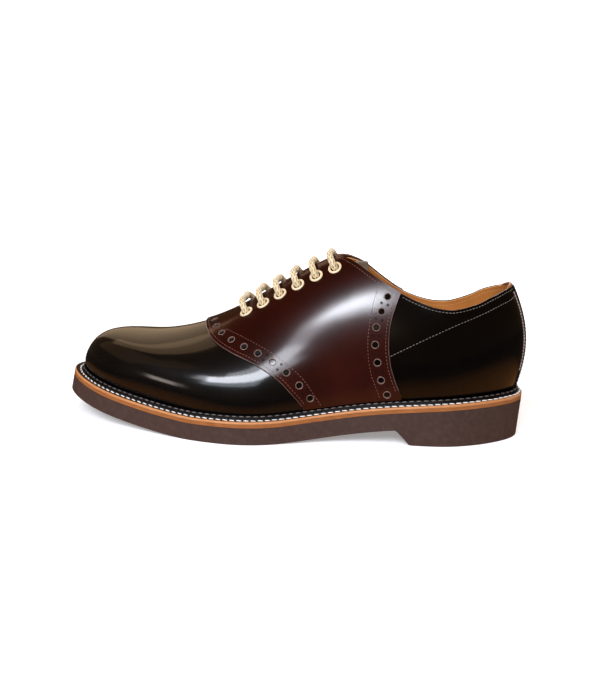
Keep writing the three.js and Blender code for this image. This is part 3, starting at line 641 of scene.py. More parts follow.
# A row of stitches: the way along is turned by the slant, and the thread sinks a little
def makeStitches(name, paths, style, material):
    middle, alongWay, outWay = joinFrames([evenSteps(*path, style["pitch"]) for path in paths])
    acrossWay = np.cross(outWay, alongWay)
    slant = style.get("slant", 0) * degree
    alongWay = alongWay * math.cos(slant) + acrossWay * math.sin(slant)
    middle = middle + outWay * style["stand"]
    shape, faces = threadShape(style["length"], style["width"], style["height"])
    return makeCopies(name, shape, faces, (middle, alongWay, outWay), material)


# Path on the skin through rows of (around, degrees), moved sideways on the skin by an offset
def skinPath(rows, side, distance, offset=0.0):
    rows = np.array(rows, float)
    around = rows[:, 0] * side
    angle = rows[:, 1] * degree
    if len(rows) < 100:
        run = runAlong(lastPoint(around, angle))
        t = np.linspace(0, run[-1], 500)
        around = through(run, around)(t)
        angle = through(run, angle)(t)
    if offset:
        alongWay, upWay = skinWays(around, angle)
        way = unit(np.gradient(lastPoint(around, angle), axis=0))
        move = np.cross(lastNormal(around, angle), way) * offset * -side
        a, b, c = ((p * q).sum(-1) for p, q in ((alongWay, alongWay), (alongWay, upWay), (upWay, upWay)))
        moveAlong = (alongWay * move).sum(-1)
        moveUp = (upWay * move).sum(-1)
        around = around + (c * moveAlong - b * moveUp) / (a * c - b * b)
        angle = angle + (a * moveUp - b * moveAlong) / (a * c - b * b)
    return skin(around, angle, distance), lastNormal(around, angle)


# The sole. Profiles are shares of the height at which rows of points run around the edge.
sole = {
    "places": 220, "crowding": 0.035, "heelBreast": 70.0, "breastSlant": 8.5, "heelTaper": 0.04,
    "taperRun": 30.0, "heelMiddle": 36.0, "across": 24, "profile": [0, 0.06, 0.5, 0.94, 1],
    "layerProfile": [0, 0.15, 0.85, 1], "rounding": 0.5, "layerRounding": 0.3, "sharpest": 40,
    "midsoleBelow": 0.2, "midsoleAbove": 0.22, "insoleGap": 0.6,
}
fromHeel = 1 - np.linspace(0, 1, sole["places"])
fromHeel = fromHeel - sole["crowding"] * np.sin(2 * math.pi * (1 - fromHeel))


# Closed slab between a lower and an upper half-outline on each side: strips run across, and
# the side between the two edges is a few rows with a soft profile
def slabPoints(lowerAt, upperAt, profile):
    outer, inner = ([mix(lowerAt(side * fromHeel), upperAt(side * fromHeel), f) for f in profile]
                    for side in sides)
    t = np.linspace(0, 1, sole["across"] + 1)[:, None, None]
    bottom = mix(outer[0][None], inner[0][None], t)
    top = mix(inner[-1][None], outer[-1][None], t)
    ringRows = np.concatenate([bottom, np.stack(inner[1:-1]), top, np.stack(outer[1:-1])[::-1]])
    return ringRows.transpose(1, 0, 2)


def soleLower(around):
    along, across = outline(around, 0)[:2]
    taper = 1 - sole["heelTaper"] * smooth((sole["heelBreast"] - along) / sole["taperRun"])
    heelAlong = mix(sole["heelMiddle"], along, taper)
    heel = np.stack([heelAlong, across * (1 - sole["heelTaper"]), 0 * along], -1)
    rest = np.stack([along, across, soleCurve(along)], -1)
    slope = np.clip((along - sole["heelBreast"]) / sole["breastSlant"], 0, 1)[:, None]
    return np.where(along[:, None] < sole["heelBreast"], heel, mix(heel, rest, slope))


def makeSlab(name, points, rounding, material):
    piece = makePiece(name, points, gridFaces(*points.shape[:2], closedRows=True), [material])
    roundEdges(piece, rounding, sole["sharpest"])
    return piece


# The edge of a layer, at an inset that depends on the place and at a height in the stack
def layerAt(inset, height):
    return lambda around: lift(*outline(around, inset(around))[:2], height)


def makeLayer(name, inset, low, high, material):
    points = slabPoints(layerAt(inset, low), layerAt(inset, high), sole["layerProfile"])
    return makeSlab(name, points, sole["layerRounding"], material)


flush = layerAt(lambda around: 0, stack["outsole"])
outsole = makeSlab("outsoleRubber", slabPoints(soleLower, flush, sole["profile"]),
                   sole["rounding"], rubber)
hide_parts("outsole")
# The midsole fills most of the gaps that the stack keeps between its layers
midsoleLow = stack["outsole"] + stack["gap"]
midsole = makeLayer("midsoleLeather", lambda around: 0, midsoleLow - sole["midsoleBelow"],
                    midsoleLow + stack["midsole"] + sole["midsoleAbove"],
                    midsoleLeather)
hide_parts("midsole")
insoleLow = weltTop + stack["gap"]
insoleInset = stack["wall"] + sole["insoleGap"]
insole = makeLayer("sockLeather", lambda around: weltWidth(around) + insoleInset, insoleLow,
                   insoleLow + stack["insole"], insoleLeather)
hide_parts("insole")

# Welt with its storm rib: a profile of (inset, height, finish) carried around the shoe
welt = {"chamfer": 0.6, "ribHeight": 2.5, "ribThickness": 1.5, "ribGap": 1.0, "inner": 5.0}


def weltProfile(around):
    m = np.abs(around)
    width = weltWidth(around)
    rise = ridgeUp(np.maximum(0.1, m)) - feather(around)[0][..., 2]
    lean = welt["ribHeight"] * shoe["swell"] * pushAt(m) / (rise * (1 + crownAt(m)))
    foot = width - welt["ribGap"]
    bottom = weltTop - stack["welt"]
    back = foot - lean
    thick = welt["ribThickness"]
    high = welt["ribHeight"]
    inner = width + stack["wall"] + welt["inner"]
    return [
        (0 * m, bottom, 0), (0 * m, weltTop - welt["chamfer"], 0), (0 * m + 0.25, weltTop - 0.45, 0),
        (0 * m + welt["chamfer"], weltTop, 1), (back - thick - 0.25, weltTop, 1),
        (back - thick - 0.05, weltTop + 0.15, 2), (back - 0.95 * thick, weltTop + 0.7 * high, 2),
        (back - 0.8 * thick, weltTop + 0.93 * high, 2), (back - 0.5 * thick, weltTop + high, 2),
        (back - 0.15 * thick, weltTop + 0.97 * high, 2), (back, weltTop + 0.8 * high, 2),
        (foot, weltTop, 1), (inner, weltTop, 1), (inner, bottom, 1),
    ]


weltPlaces = np.concatenate([-fromHeel, fromHeel[-2:0:-1]])
weltRows = weltProfile(weltPlaces)
weltPoints = np.stack([lift(*outline(weltPlaces, inset)[:2], height)
                       for inset, height, finish in weltRows], 1)
weltFinish = np.tile([row[2] for row in weltRows], len(weltPlaces))
weltPiece = makePiece("weltLeather", weltPoints, gridFaces(len(weltPlaces), len(weltRows), True, True),
                      [weltEdgeLeather, weltLeather, ribLeather],
                      faceMaterial=weltFinish)
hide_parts("welt")
print("sole made")

# Lock stitches on the welt, and the darker ones through the rib
weltThread = {
    "pitch": 4.3, "length": 3.4, "width": 0.95, "height": 0.8, "stand": 0.14, "slant": 11, "inset": 1.15,
}
ribThread = {
    "pitch": 4.3, "length": 2.9, "width": 0.85, "height": 0.6, "stand": 0.1, "up": 0.9, "tilt": 0.8,
}
densePlaces = np.linspace(-0.998, 0.998, 3000)
denseRows = weltProfile(densePlaces)
ribOuter = denseRows[5][0]
upWay = np.tile([0.0, 0.0, 1.0], (len(densePlaces), 1))
weltLine = lift(*outline(densePlaces, ribOuter - weltThread["inset"])[:2], weltTop)
ribLine = lift(*outline(densePlaces, denseRows[7][0])[:2], weltTop + ribThread["up"] * welt["ribHeight"])
outAlong, outAcross = outline(densePlaces, 0)[2:]
sideWay = unit(np.stack([outAlong, outAcross, 0 * outAlong + ribThread["tilt"]], -1))
makeStitches("weltStitches", [(weltLine, upWay)], weltThread, whiteThread)
makeStitches("ribStitches", [(ribLine, sideWay)], ribThread, greyThread)
print("welt stitched")

# The upper: black skin and tan lining. Columns are dense at the toe and where the top drops.
upper = {
    "columns": 150, "crowding": 1.15, "steep": (0.64, 0.73, 24), "rows": 56, "skin": 1.2,
    "lining": 1.1, "gap": 0.08, "liningDrop": 0.2, "vampEnd": 0.6, "rounding": 0.45,
    "liningRounding": 0.4,
}
columnsHalf = np.unique(np.concatenate([
    np.linspace(0, 1, upper["columns"]) ** upper["crowding"], np.linspace(*upper["steep"]), [throat],
]))
columnsAll = np.concatenate([-columnsHalf[::-1], columnsHalf])
rowShares = np.linspace(0, 1, upper["rows"])


def upperGrid(distance, topDrop):
    around = columnsAll[:, None]
    top = topAngle(around) - topDrop * (np.abs(around) > throat)
    angle = top * rowShares[None]
    around = around + 0 * angle
    points = skin(around, angle, distance)
    tip = np.abs(around) < 1e-9
    points[tip] = lastPoint(0, 0) + np.array([distance, 0, 0])
    return points, lastNormal(around, angle)


# The two halves have a column each at the toe, and vamp and quarters part under the saddle
upperPoints, upperNormals = upperGrid(0.0, 0.0)
upperFaces = gridFaces(len(columnsAll), upper["rows"])
upperFaces = upperFaces[upperFaces[:, 0] // upper["rows"] != len(columnsHalf) - 1]
isVamp = np.abs(columnsAll)[upperFaces[:, 0] // upper["rows"]] < upper["vampEnd"]
vampPiece = makePiece("vampLeather", upperPoints, upperFaces[isVamp],
                      [blackLeather, blackEdge], outward=upperNormals)
quarterPiece = makePiece("quarterLeather", upperPoints, upperFaces[~isVamp],
                         [blackLeather, blackEdge], outward=upperNormals)
for piece in (vampPiece, quarterPiece):
    thicken(piece, upper["skin"], upper["rounding"])
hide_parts("upper")
liningPoints, liningNormals = upperGrid(-upper["skin"] - upper["gap"], upper["liningDrop"] * degree)
liningPiece = makePiece("upperLining", liningPoints, upperFaces, [liningLeather],
                        outward=liningNormals)
thicken(liningPiece, upper["lining"], upper["liningRounding"])
print("upper made")

# The saddle. Its rows are places around and degrees up, here and for the holes and seams.
saddle = {
    "thickness": 1.3, "gap": 0.12, "lowest": 3.0, "rows": 232, "bandColumns": 32, "columns": 20,
    "frontBand": 0.30, "rearBand": 0.76, "holeRadius": 1.95, "holeSpread": 1.6, "pinRadius": 0.8,
    "pinReach": 2.0, "pinLift": 0.03, "ribClear": 0.6, "rounding": 0.3,
}
saddleTop = saddle["thickness"] + saddle["gap"]
frontRows = [
    (0.425, 90), (0.426, 78.2), (0.427, 68.7), (0.428, 59), (0.435, 49.5), (0.450, 41.1),
    (0.467, 35), (0.482, 30), (0.500, 23.8), (0.516, 18), (0.530, 11.9), (0.543, 6.8), (0.558, 0),
]
rearRows = [
    (0.721, 43.8), (0.707, 36.9), (0.698, 31.4), (0.693, 25.9), (0.691, 20.5), (0.692, 15.6),
    (0.697, 10.1), (0.704, 5.1), (0.713, 0),
]
frontHoles = [
    (0.440, 78.5), (0.442, 68.2), (0.447, 58.9), (0.457, 50.5), (0.472, 43), (0.490, 36.5),
    (0.509, 29.5), (0.528, 22.4), (0.546, 14.7), (0.563, 7.5),
]
rearHoles = [
    (0.701, 43.0), (0.688, 37), (0.677, 31), (0.672, 24.2), (0.673, 17.2), (0.677, 10.2),
    (0.686, 4.3),
]
frontInner = [
    (0.455, 61), (0.468, 53.6), (0.484, 45.7), (0.501, 38.4), (0.518, 31.9), (0.532, 25.8),
    (0.547, 20.1), (0.559, 14.4), (0.570, 8.5), (0.581, 3.2),
]
rearInner = [
    (0.694, 49.7), (0.679, 41.4), (0.669, 33.6), (0.662, 26.2), (0.660, 19.9), (0.662, 13.6),
    (0.668, 8.4), (0.675, 3.2),
]
frontPlaces, frontDegrees = zip(*frontRows[::-1])
rearPlaces, rearDegrees = zip(*rearRows[::-1])
frontAt = through(frontDegrees, frontPlaces)
rearAt = through(rearDegrees, rearPlaces)
frontTop = frontDegrees[-1]
rearTop = rearDegrees[-1]


# Lowest angle of a piece that lies on the upper, clear of the rib of the welt
def footAngle(around):
    m = np.maximum(0.05, np.abs(around))
    rise = ridgeUp(m) - feather(around)[0][..., 2]
    share = (welt["ribHeight"] + saddle["ribClear"]) / (rise * (1 + crownAt(m)))
    return np.arcsin(np.minimum(1, share))


topPlaces = np.linspace(frontAt(frontTop), rearAt(rearTop), 600)
topDegreesAt = np.where(topPlaces <= throat, frontTop, topDegrees(topPlaces))
topRun = runAlong(lastPoint(-topPlaces, topDegreesAt * degree))
throatShare = np.interp(throat, topPlaces, topRun) / topRun[-1]


# Place and angle for a point of the saddle: a patch between its four edges. u runs from the
# front edge to the rear edge and w from the foot to the top edge.
def saddlePlace(u, w):
    low = saddle["lowest"]
    topAround = np.interp(u * topRun[-1], topRun, topPlaces)
    topUp = np.interp(u * topRun[-1], topRun, topDegreesAt)
    frontUp = mix(low, frontTop, w)
    rearUp = mix(low, rearTop, w)
    around, angle = (
        mix(front, rear, u) + mix(foot, top, w) - mix(foot, mix(*corners, u), w)
        for front, rear, foot, top, corners in (
            (frontAt(frontUp), rearAt(rearUp), mix(frontAt(low), rearAt(low), u), topAround,
             (frontAt(frontTop), rearAt(rearTop))),
            (frontUp, rearUp, low, topUp, (frontTop, rearTop)),
        )
    )
    bottom = footAngle(around)
    angle = np.maximum(bottom + 0.01 * w, angle * degree)
    return around, np.where(w == 0, bottom, angle)


uShares = np.concatenate([
    np.linspace(0, saddle["frontBand"], saddle["bandColumns"])[:-1],
    np.linspace(saddle["frontBand"], saddle["rearBand"], saddle["columns"])[:-1],
    np.linspace(saddle["rearBand"], 1, saddle["bandColumns"]),
])
uShares[np.argmin(np.abs(uShares - throatShare))] = throatShare
edgeShares = np.linspace(0, 1, 800)
edgeDegrees = mix(saddle["lowest"], frontTop, edgeShares)
edgeRun = runAlong(lastPoint(-frontAt(edgeDegrees), edgeDegrees * degree))
wShares = np.interp(np.linspace(0, edgeRun[-1], saddle["rows"]), edgeRun, edgeShares)


# Rows of (around, degrees) on one side: on the inner side they go down with the top edge
def onSide(rows, side):
    rows = np.array(rows, float)
    if side > 0:
        share = rows[:, 1] / topDegrees(rows[:, 0])
        rows[:, 1] -= dropDegrees(rows[:, 0]) * share**3
    return rows


def holeCentres(rows, side):
    rows = onSide(rows, side)
    return skin(side * rows[:, 0], rows[:, 1] * degree, saddleTop)


# Opens round holes in a grid: faces inside a hole go, the points around it move on to its
# circle, and the next points make room
def openHoles(points, faces, centres, radius):
    apart = np.linalg.norm(points[:, None] - centres[None], axis=-1)
    nearest = apart.argmin(1)
    gap = apart[np.arange(len(points)), nearest]
    middles = points[faces].mean(1)
    inside = (np.linalg.norm(middles[:, None] - centres[None], axis=-1) < radius).any(1)
    touched = np.zeros(len(points), bool)
    touched[faces[inside]] = True
    rest = np.zeros(len(points), bool)
    rest[faces[~inside]] = True
    share = gap / radius
    widest = saddle["holeSpread"]
    room = mix((1 + widest) / 2, widest, np.clip((share - 1) / (widest - 1), 0, 1))
    spread = np.where(touched, 1, np.where(share < widest, room, share))
    centre = centres[nearest]
    moved = centre + (points - centre) * (spread / share)[:, None]
    return np.where(rest[:, None], moved, points), faces[~inside]


def saddleHalf(side):
    u, w = np.meshgrid(uShares, wShares, indexing="ij")
    around, angle = saddlePlace(u, w)
    ridge = (w == 1) & (u <= throatShare + 1e-9)
    angle = np.where(ridge, math.pi / 2, angle) - dropAt(side * around) * degree * w**3
    points = skin(side * around, angle, saddleTop).reshape(-1, 3)
    normals = lastNormal(side * around, angle).reshape(-1, 3)
    middleLine = ridge.reshape(-1)
    points[middleLine, 1] = ridgeAcross(around.reshape(-1)[middleLine])
    faces = gridFaces(len(uShares), len(wShares))
    centres = holeCentres(frontHoles + rearHoles, side)
    points, faces = openHoles(points, faces, centres, saddle["holeRadius"])
    return points, faces if side < 0 else faces[:, ::-1], normals


halves = [saddleHalf(-1), saddleHalf(1)]
saddlePoints = np.concatenate([half[0] for half in halves])
saddleFaces = np.concatenate([halves[0][1], halves[1][1] + len(halves[0][0])])
saddleNormals = np.concatenate([half[2] for half in halves])
saddlePiece = makePiece("saddleLeather", saddlePoints, saddleFaces,
                        [burgundyLeather, cutEdge], outward=saddleNormals)
thicken(saddlePiece, saddle["thickness"], saddle["rounding"], rim=1, finish=0)
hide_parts("saddle")
print("saddle made")


# Tube around a path: rings of points from ways across and out, and radii that broadcast
def ringsAlong(path, across, out, radius, turns):
    return path[:, None] + radius * (np.cos(turns)[:, None] * across[:, None]
                                     + np.sin(turns)[:, None] * out[:, None])


# Thin cord along paths on the skin, such as the pale line along an edge, with a radius for each point
def makeBead(name, paths, radius, material):
    turns = np.arange(6) * math.pi / 3
    points = []
    faces = []
    for path, normals in paths:
        across = unit(np.cross(normals, unit(np.gradient(path, axis=0))))
        rings = ringsAlong(path, across, normals, np.reshape(radius, (-1, 1, 1)), turns)
        faces.append(gridFaces(len(path), len(turns), closedRows=True) + sum(map(len, points)))
        points.append(rings.reshape(-1, 3))
    return makePiece(name, np.concatenate(points), np.concatenate(faces), [material],
                     weld=False)


# Rounded lip that the punch leaves around each hole: radius and height
lipProfile = np.array([
    (2.4, 0.01), (2.3, 0.1), (2.14, 0.14), (1.96, 0.08), (1.86, -0.12), (1.84, -1.25),
])
lipSides = 24
lipFrames = []
pinFrames = []
for rows in (frontHoles, rearHoles):
    for side in sides:
        lowered = onSide(rows, side)
        centres = holeCentres(rows, side)
        out = lastNormal(side * lowered[:, 0], lowered[:, 1] * degree)
        lipFrames.append((centres, unit(np.cross(out, (0.0, 1.0, 0.2))), out))
        # Pinholes in pairs between the large holes
        around, angle = ((lowered[1:] + lowered[:-1]) / 2 * (side, degree)).T
        place = skin(around, angle, saddleTop + saddle["pinLift"])
        out = lastNormal(around, angle)
        way = unit(np.diff(centres, axis=0))
        reach = saddle["pinReach"] * unit(np.cross(out, way))
        pinFrames += [(place + reach, way, out), (place - reach, way, out)]
# The lips are coloured pale: partly cut leather, partly a painted highlight
makeCopies("saddleHoleLips", turned(lipProfile, lipSides), gridFaces(lipSides, len(lipProfile), True),
           joinFrames(lipFrames), paleRimWithPaintedHighlight)
# A pinhole is a small dish: a middle point and two rings. Its near-black colour is painted shade inside
# the hole, over the black upper below.
pinSides = 8
pinRings = np.array([(0.7, 0), (1, 0.05)]) * (saddle["pinRadius"], 1)
pinShape = np.concatenate([[[0, 0, -0.05]], turned(pinRings, pinSides)])
pinFaces = [(0, 1 + 2 * k, 1 + 2 * ((k + 1) % pinSides)) for k in range(pinSides)]
pinFaces += list(gridFaces(pinSides, len(pinRings), True)[:, ::-1] + 1)
makeCopies("saddlePinholes", pinShape, pinFaces, joinFrames(pinFrames), pinholeShade)


# Rows along an edge of the saddle between two angles
def edgeRows(edgeAt, low, high):
    up = np.linspace(low, high, 120)
    return np.stack([edgeAt(up), up], -1)


# Rows along the top edge between two places
def topEdge(start, end, side):
    around = np.linspace(start, end, 200)
    return np.stack([around, topAngle(side * around) / degree], -1)


# Seams run beside the edges at distances in millimetres, and between two angles or places
seamThread = {"pitch": 2.1, "length": 1.35, "width": 0.34, "height": 0.3, "stand": 0.03}
seams = {"front": 2.0, "rear": -1.7, "slit": 2.2, "collar": 1.8, "lining": 3.0, "heel": 1.0}
seamEnds = {
    "front": (4.5, 89), "rear": (5.5, 43.4), "slit": (0.474, 0.715), "collar": (0.724, 0.988),
    "heel": (7, 36.5),
}
# A thin pale cord along the front and rear edges of the saddle: partly the cut edge, partly a painted
# highlight
edgeBead = {"radius": 0.19, "sink": 0.12, "inset": 0.05}
frontEdge = edgeRows(frontAt, *seamEnds["front"])
rearEdge = edgeRows(rearAt, *seamEnds["rear"])
edgePaths = []
saddleSeams = []
for side in sides:
    front, rear = onSide(frontEdge, side), onSide(rearEdge, side)
    edgePaths += [skinPath(front, side, saddleTop - edgeBead["sink"], -edgeBead["inset"]),
                  skinPath(rear, side, saddleTop - edgeBead["sink"], edgeBead["inset"])]
    saddleSeams += [
        skinPath(front, side, saddleTop, seams["front"]),
        skinPath(rear, side, saddleTop, seams["rear"]),
        skinPath(onSide(frontInner, side), side, saddleTop),
        skinPath(onSide(rearInner, side), side, saddleTop),
        skinPath(topEdge(*seamEnds["slit"], side), side, saddleTop, seams["slit"]),
    ]
makeBead("saddleEdge", edgePaths, edgeBead["radius"], paleRimWithPaintedHighlight)
makeStitches("saddleStitches", saddleSeams, seamThread, roseThread)

# Seams of the quarters: below the topline, and the slanting line to the heel
quarterLine = [
    (0.692, 18.7), (0.729, 22.1), (0.762, 25), (0.798, 27.7), (0.838, 29.9), (0.890, 32.4),
    (0.933, 33.8), (0.985, 35.2),
]


# Share of the way around that a millimetre takes beside the heel seam
def heelStep(angle):
    strip = 0.04
    chord = lastPoint(strip - 1, angle) - lastPoint(-1.0, angle)
    return strip / np.linalg.norm(chord[..., :2], axis=-1)


backstay = {
    "width": 9.5, "thickness": 1.0, "gap": 0.05, "columns": 16, "rows": 60, "below": 0.6,
    "rounding": 0.2,
}
quarterSeams = []
liningSeams = []
heelSeams = []
heelUp = np.linspace(*seamEnds["heel"], 120)
heelIn = (backstay["width"] / 2 + seams["heel"]) * heelStep(heelUp * degree)
for side in sides:
    collarEdge = topEdge(*seamEnds["collar"], side)
    quarterSeams += [skinPath(quarterLine, side, 0.0), skinPath(collarEdge, side, 0.0, seams["collar"])]
    inside = -upper["skin"] - upper["lining"] - 0.1
    points, normals = skinPath(collarEdge, side, inside, seams["lining"])
    liningSeams.append((points, -normals))
    heelSeams.append(skinPath(np.stack([1 - heelIn, heelUp], -1), side, 0.05))
makeStitches("quarterStitches", quarterSeams, seamThread, stoneThread)
heelThread = {"pitch": 2.0, "length": 1.6, "width": 0.6, "height": 0.6, "stand": 0.08}
makeStitches("heelStitches", heelSeams, heelThread, heelPink)
makeStitches("liningStitches", liningSeams, seamThread, paleThread)

# The lining is folded over the top edge at the heel, and the fold thins out at its ends
fold = {
    "start": 0.935, "end": 0.998, "points": 40, "sink": 1.15, "low": -0.6, "high": 0.6,
    "thin": 0.05, "thick": 1.4, "blunt": 2.5,
}
foldHalf = np.linspace(fold["start"], fold["end"], fold["points"])
foldPlaces = np.concatenate([-foldHalf, foldHalf[::-1]])
foldAngles = topAngle(foldPlaces)
foldShare = 1 - np.abs(np.linspace(-1, 1, len(foldPlaces))) ** fold["blunt"]
foldMiddle = skin(foldPlaces, foldAngles, -fold["sink"])
foldMiddle[:, 2] += mix(fold["low"], fold["high"], foldShare)
makeBead("heelFold", [(foldMiddle, lastNormal(foldPlaces, foldAngles))],
         mix(fold["thin"], fold["thick"], np.sqrt(foldShare)), foldLeather)
print("seams sewn")

# The strip over the heel seam
backAngles = np.linspace(footAngle(np.array(1.0)), (topDegrees(1.0) - backstay["below"]) * degree,
                         backstay["rows"])
reach = backstay["width"] / 2 * heelStep(backAngles)
turnShare = np.linspace(-1, 1, backstay["columns"])[:, None] * reach
stayAround = np.where(turnShare > 0, 1, -1) - turnShare
stayAngle = backAngles + 0 * turnShare
stayPoints = skin(stayAround, stayAngle, backstay["thickness"] + backstay["gap"])
stayUnder = skin(stayAround, stayAngle, backstay["gap"])
stayPiece = makeShell("backstayLeather", stayPoints, stayUnder,
                      [blackLeather, blackEdge], backstay["rounding"])
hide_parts("backstay")
stayThread = {"pitch": 2.4, "length": 1.7, "width": 0.55, "height": 0.45, "stand": 0.06}
stayNormals = lastNormal(stayAround, stayAngle)
stayRows = [(stayPoints[column], stayNormals[column]) for column in (1, -2)]
makeStitches("backstayStitches", stayRows, stayThread, stoneThread)
print("backstay made")

# The tongue. Lengths along it are shares of its run.
tongue = {
    "front": 0.430, "back": 0.652, "under": 0.8, "rise": 17.0, "round": 0.4, "bend": 4.4, "width": 56.0,
    "sectionReach": 0.42, "narrow": 0.86, "narrowEnd": 0.6, "leanStep": 0.03, "columns": 70,
    "rows": 40, "depthFront": 2.7, "depthBack": 7.6, "rowStart": 0.494, "leather": 1.1,
    "lining": 1.1, "gap": 0.03, "rounding": 0.35,
}


# Sheet at a depth below the outside of the tongue: it follows the last under the slit, and
# its end stands beyond the facings on a rounded outline
def tonguePoints(below):
    u, w = np.meshgrid(np.linspace(0, 1, tongue["columns"]), np.linspace(0, 1, tongue["rows"]),
                       indexing="ij")
    back = tongue["back"]
    around = mix(tongue["front"], back, np.minimum(1, u / tongue["under"]))
    beyond = np.maximum(0, u - tongue["under"]) / (1 - tongue["under"])
    halfAngle = math.acos(tongue["width"] / 2 / (tongue["sectionReach"] * shoe["ballWidth"]))
    narrow = mix(tongue["narrow"], 1, smooth(u / tongue["narrowEnd"]))
    spread = (1 - 2 * w) * (math.pi / 2 - halfAngle) * narrow
    side = np.where(spread >= 0, -1, 1)
    sink = smooth((around - tongue["front"]) / (tongue["rowStart"] - tongue["front"]))
    depth = mix(tongue["depthFront"], tongue["depthBack"], sink) + below
    points = skin(side * around, math.pi / 2 - np.abs(spread), -depth)
    ridgeEnd = lastPoint(-back, math.pi / 2)
    climb = unit(ridgeEnd - lastPoint(tongue["leanStep"] - back, math.pi / 2))
    rise = beyond * tongue["rise"] * (1 - tongue["round"] * (1 - 2 * w) ** 2)
    points = points + rise[..., None] * climb
    points[..., 2] -= tongue["bend"] * beyond**2
    return points


tonguePiece = makeShell("tongueLeather", tonguePoints(0), tonguePoints(tongue["leather"]),
                        [tongueLeather], tongue["rounding"])
makeShell("tongueLining", tonguePoints(tongue["leather"] + tongue["gap"]),
          tonguePoints(tongue["leather"] + tongue["lining"]), [liningLeather],
          tongue["rounding"])
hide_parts("tongue")
print("tongue made")

# The eyelets, from the first to the last place around
eyelet = {
    "pairs": 6, "first": 0.494, "last": 0.640, "up": 69.0, "outer": 4.4, "hole": 2.75,
    "height": 1.1, "barrel": 4.2, "sides": 40,
}


def eyeletFrames(side):
    around = side * np.linspace(eyelet["first"], eyelet["last"], eyelet["pairs"])
    angle = eyelet["up"] * degree + 0 * around
    out = lastNormal(around, angle)
    centre = skin(around, angle, saddleTop)
    towards = unit(lastPoint(around, angle + 0.05) - lastPoint(around, angle))
    return centre, towards, out


# Rolled ring and barrel: a profile of (radius, height) turned about the way out
eyeletProfile = np.array([
    (eyelet["hole"], -eyelet["barrel"]), (eyelet["hole"] + 0.3, -eyelet["barrel"]),
    (eyelet["hole"] + 0.3, 0.02), (eyelet["outer"] - 0.1, 0.02), (eyelet["outer"], 0.18),
    (eyelet["outer"] - 0.1, 0.5), (eyelet["outer"] - 0.35, 0.86), (eyelet["outer"] - 0.75, 1.02),
    (eyelet["outer"] - 1.15, 0.9), (eyelet["hole"] + 0.14, 0.5), (eyelet["hole"], 0.15),
])
eyeletShape = turned(eyeletProfile, eyelet["sides"])
ringFaces = gridFaces(eyelet["sides"], len(eyeletProfile), True, True)
rings = [eyeletFrames(side) for side in sides]
for label, (centre, towards, out) in zip(("outer", "inner"), rings):
    points = setOnFrames(eyeletShape, centre, towards, np.cross(out, towards), out)
    for pair, ringPoints in enumerate(points.reshape(eyelet["pairs"], -1, 3)):
        node = f"eyelet_{label}_{pair + 1}"
        piece = makePiece(node + ".ring", ringPoints, ringFaces, [creamEnamel])
        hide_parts(node)
print("eyelets made")

# The lace: a round braid, and how each bar leaves its eyelets and lies over the slit
lace = {
    "diameter": 4.2, "sides": 48, "step": 0.22, "braidPitch": 4.4, "strands": 6, "relief": 0.42,
    "cross": 0.25, "tip": 0.8, "clear": 0.8, "low": 0.35, "over": 0.2, "lift": 0.8, "sag": 0.6,
    "near": 1.2, "edge": 7.5, "creviceShadeGain": 1.35, "creviceShadePower": 0.8,
}


# Smooth path through points, with slopes weighed by the distances between them
def smoothPath(points, step):
    points = np.array(points, float)
    knots = runAlong(points)
    count = max(8, int(knots[-1] / step))
    t = np.linspace(0, knots[-1], count)
    h = np.diff(knots)
    slopes = np.diff(points, axis=0) / h[:, None]
    tangents = np.concatenate([slopes[:1], (slopes[1:] * h[:-1, None] + slopes[:-1] * h[1:, None])
                               / (h[1:] + h[:-1])[:, None], slopes[-1:]])
    i = np.clip(np.searchsorted(knots, t) - 1, 0, len(h) - 1)
    f = ((t - knots[i]) / h[i])[:, None]
    return (mix(points[i], points[i + 1], f * f * (3 - 2 * f))
            + f * (1 - f) ** 2 * h[i][:, None] * tangents[i]
            + f * f * (f - 1) * h[i][:, None] * tangents[i + 1])


# Round braid: the radius rises where a strand passes over, on two sets of spirals, and painted shade is
# given where the strands sink
def braidedTube(path, startWay, diameter):
    tangents = unit(np.gradient(path, axis=0))
    run = runAlong(path)
    side = unit(startWay - (startWay * tangents).sum(-1, keepdims=True) * tangents)
    phi = np.arange(lace["sides"]) * 2 * math.pi / lace["sides"]
    spiral = 2 * math.pi * run[:, None] / lace["braidPitch"]
    turns = lace["strands"] * phi[None]
    one = 0.5 + 0.5 * np.cos(turns + spiral)
    two = 0.5 + 0.5 * np.cos(turns - spiral)
    sunk = 1 - np.maximum(one, two)
    radius = diameter / 2 - lace["relief"] * (sunk + lace["cross"] * one * two)
    # Share of painted shade in the crevices where the strands sink
    gap = np.clip(lace["creviceShadeGain"] * sunk ** lace["creviceShadePower"], 0, 1)
    ends = np.minimum(1, np.minimum(run, run[-1] - run) / lace["tip"])[:, None]
    radius = radius * np.sqrt(np.clip(1 - (1 - ends) ** 2, 0, 1)) + 1e-4
    return gap, ringsAlong(path, side, np.cross(tangents, side), radius[..., None], phi)


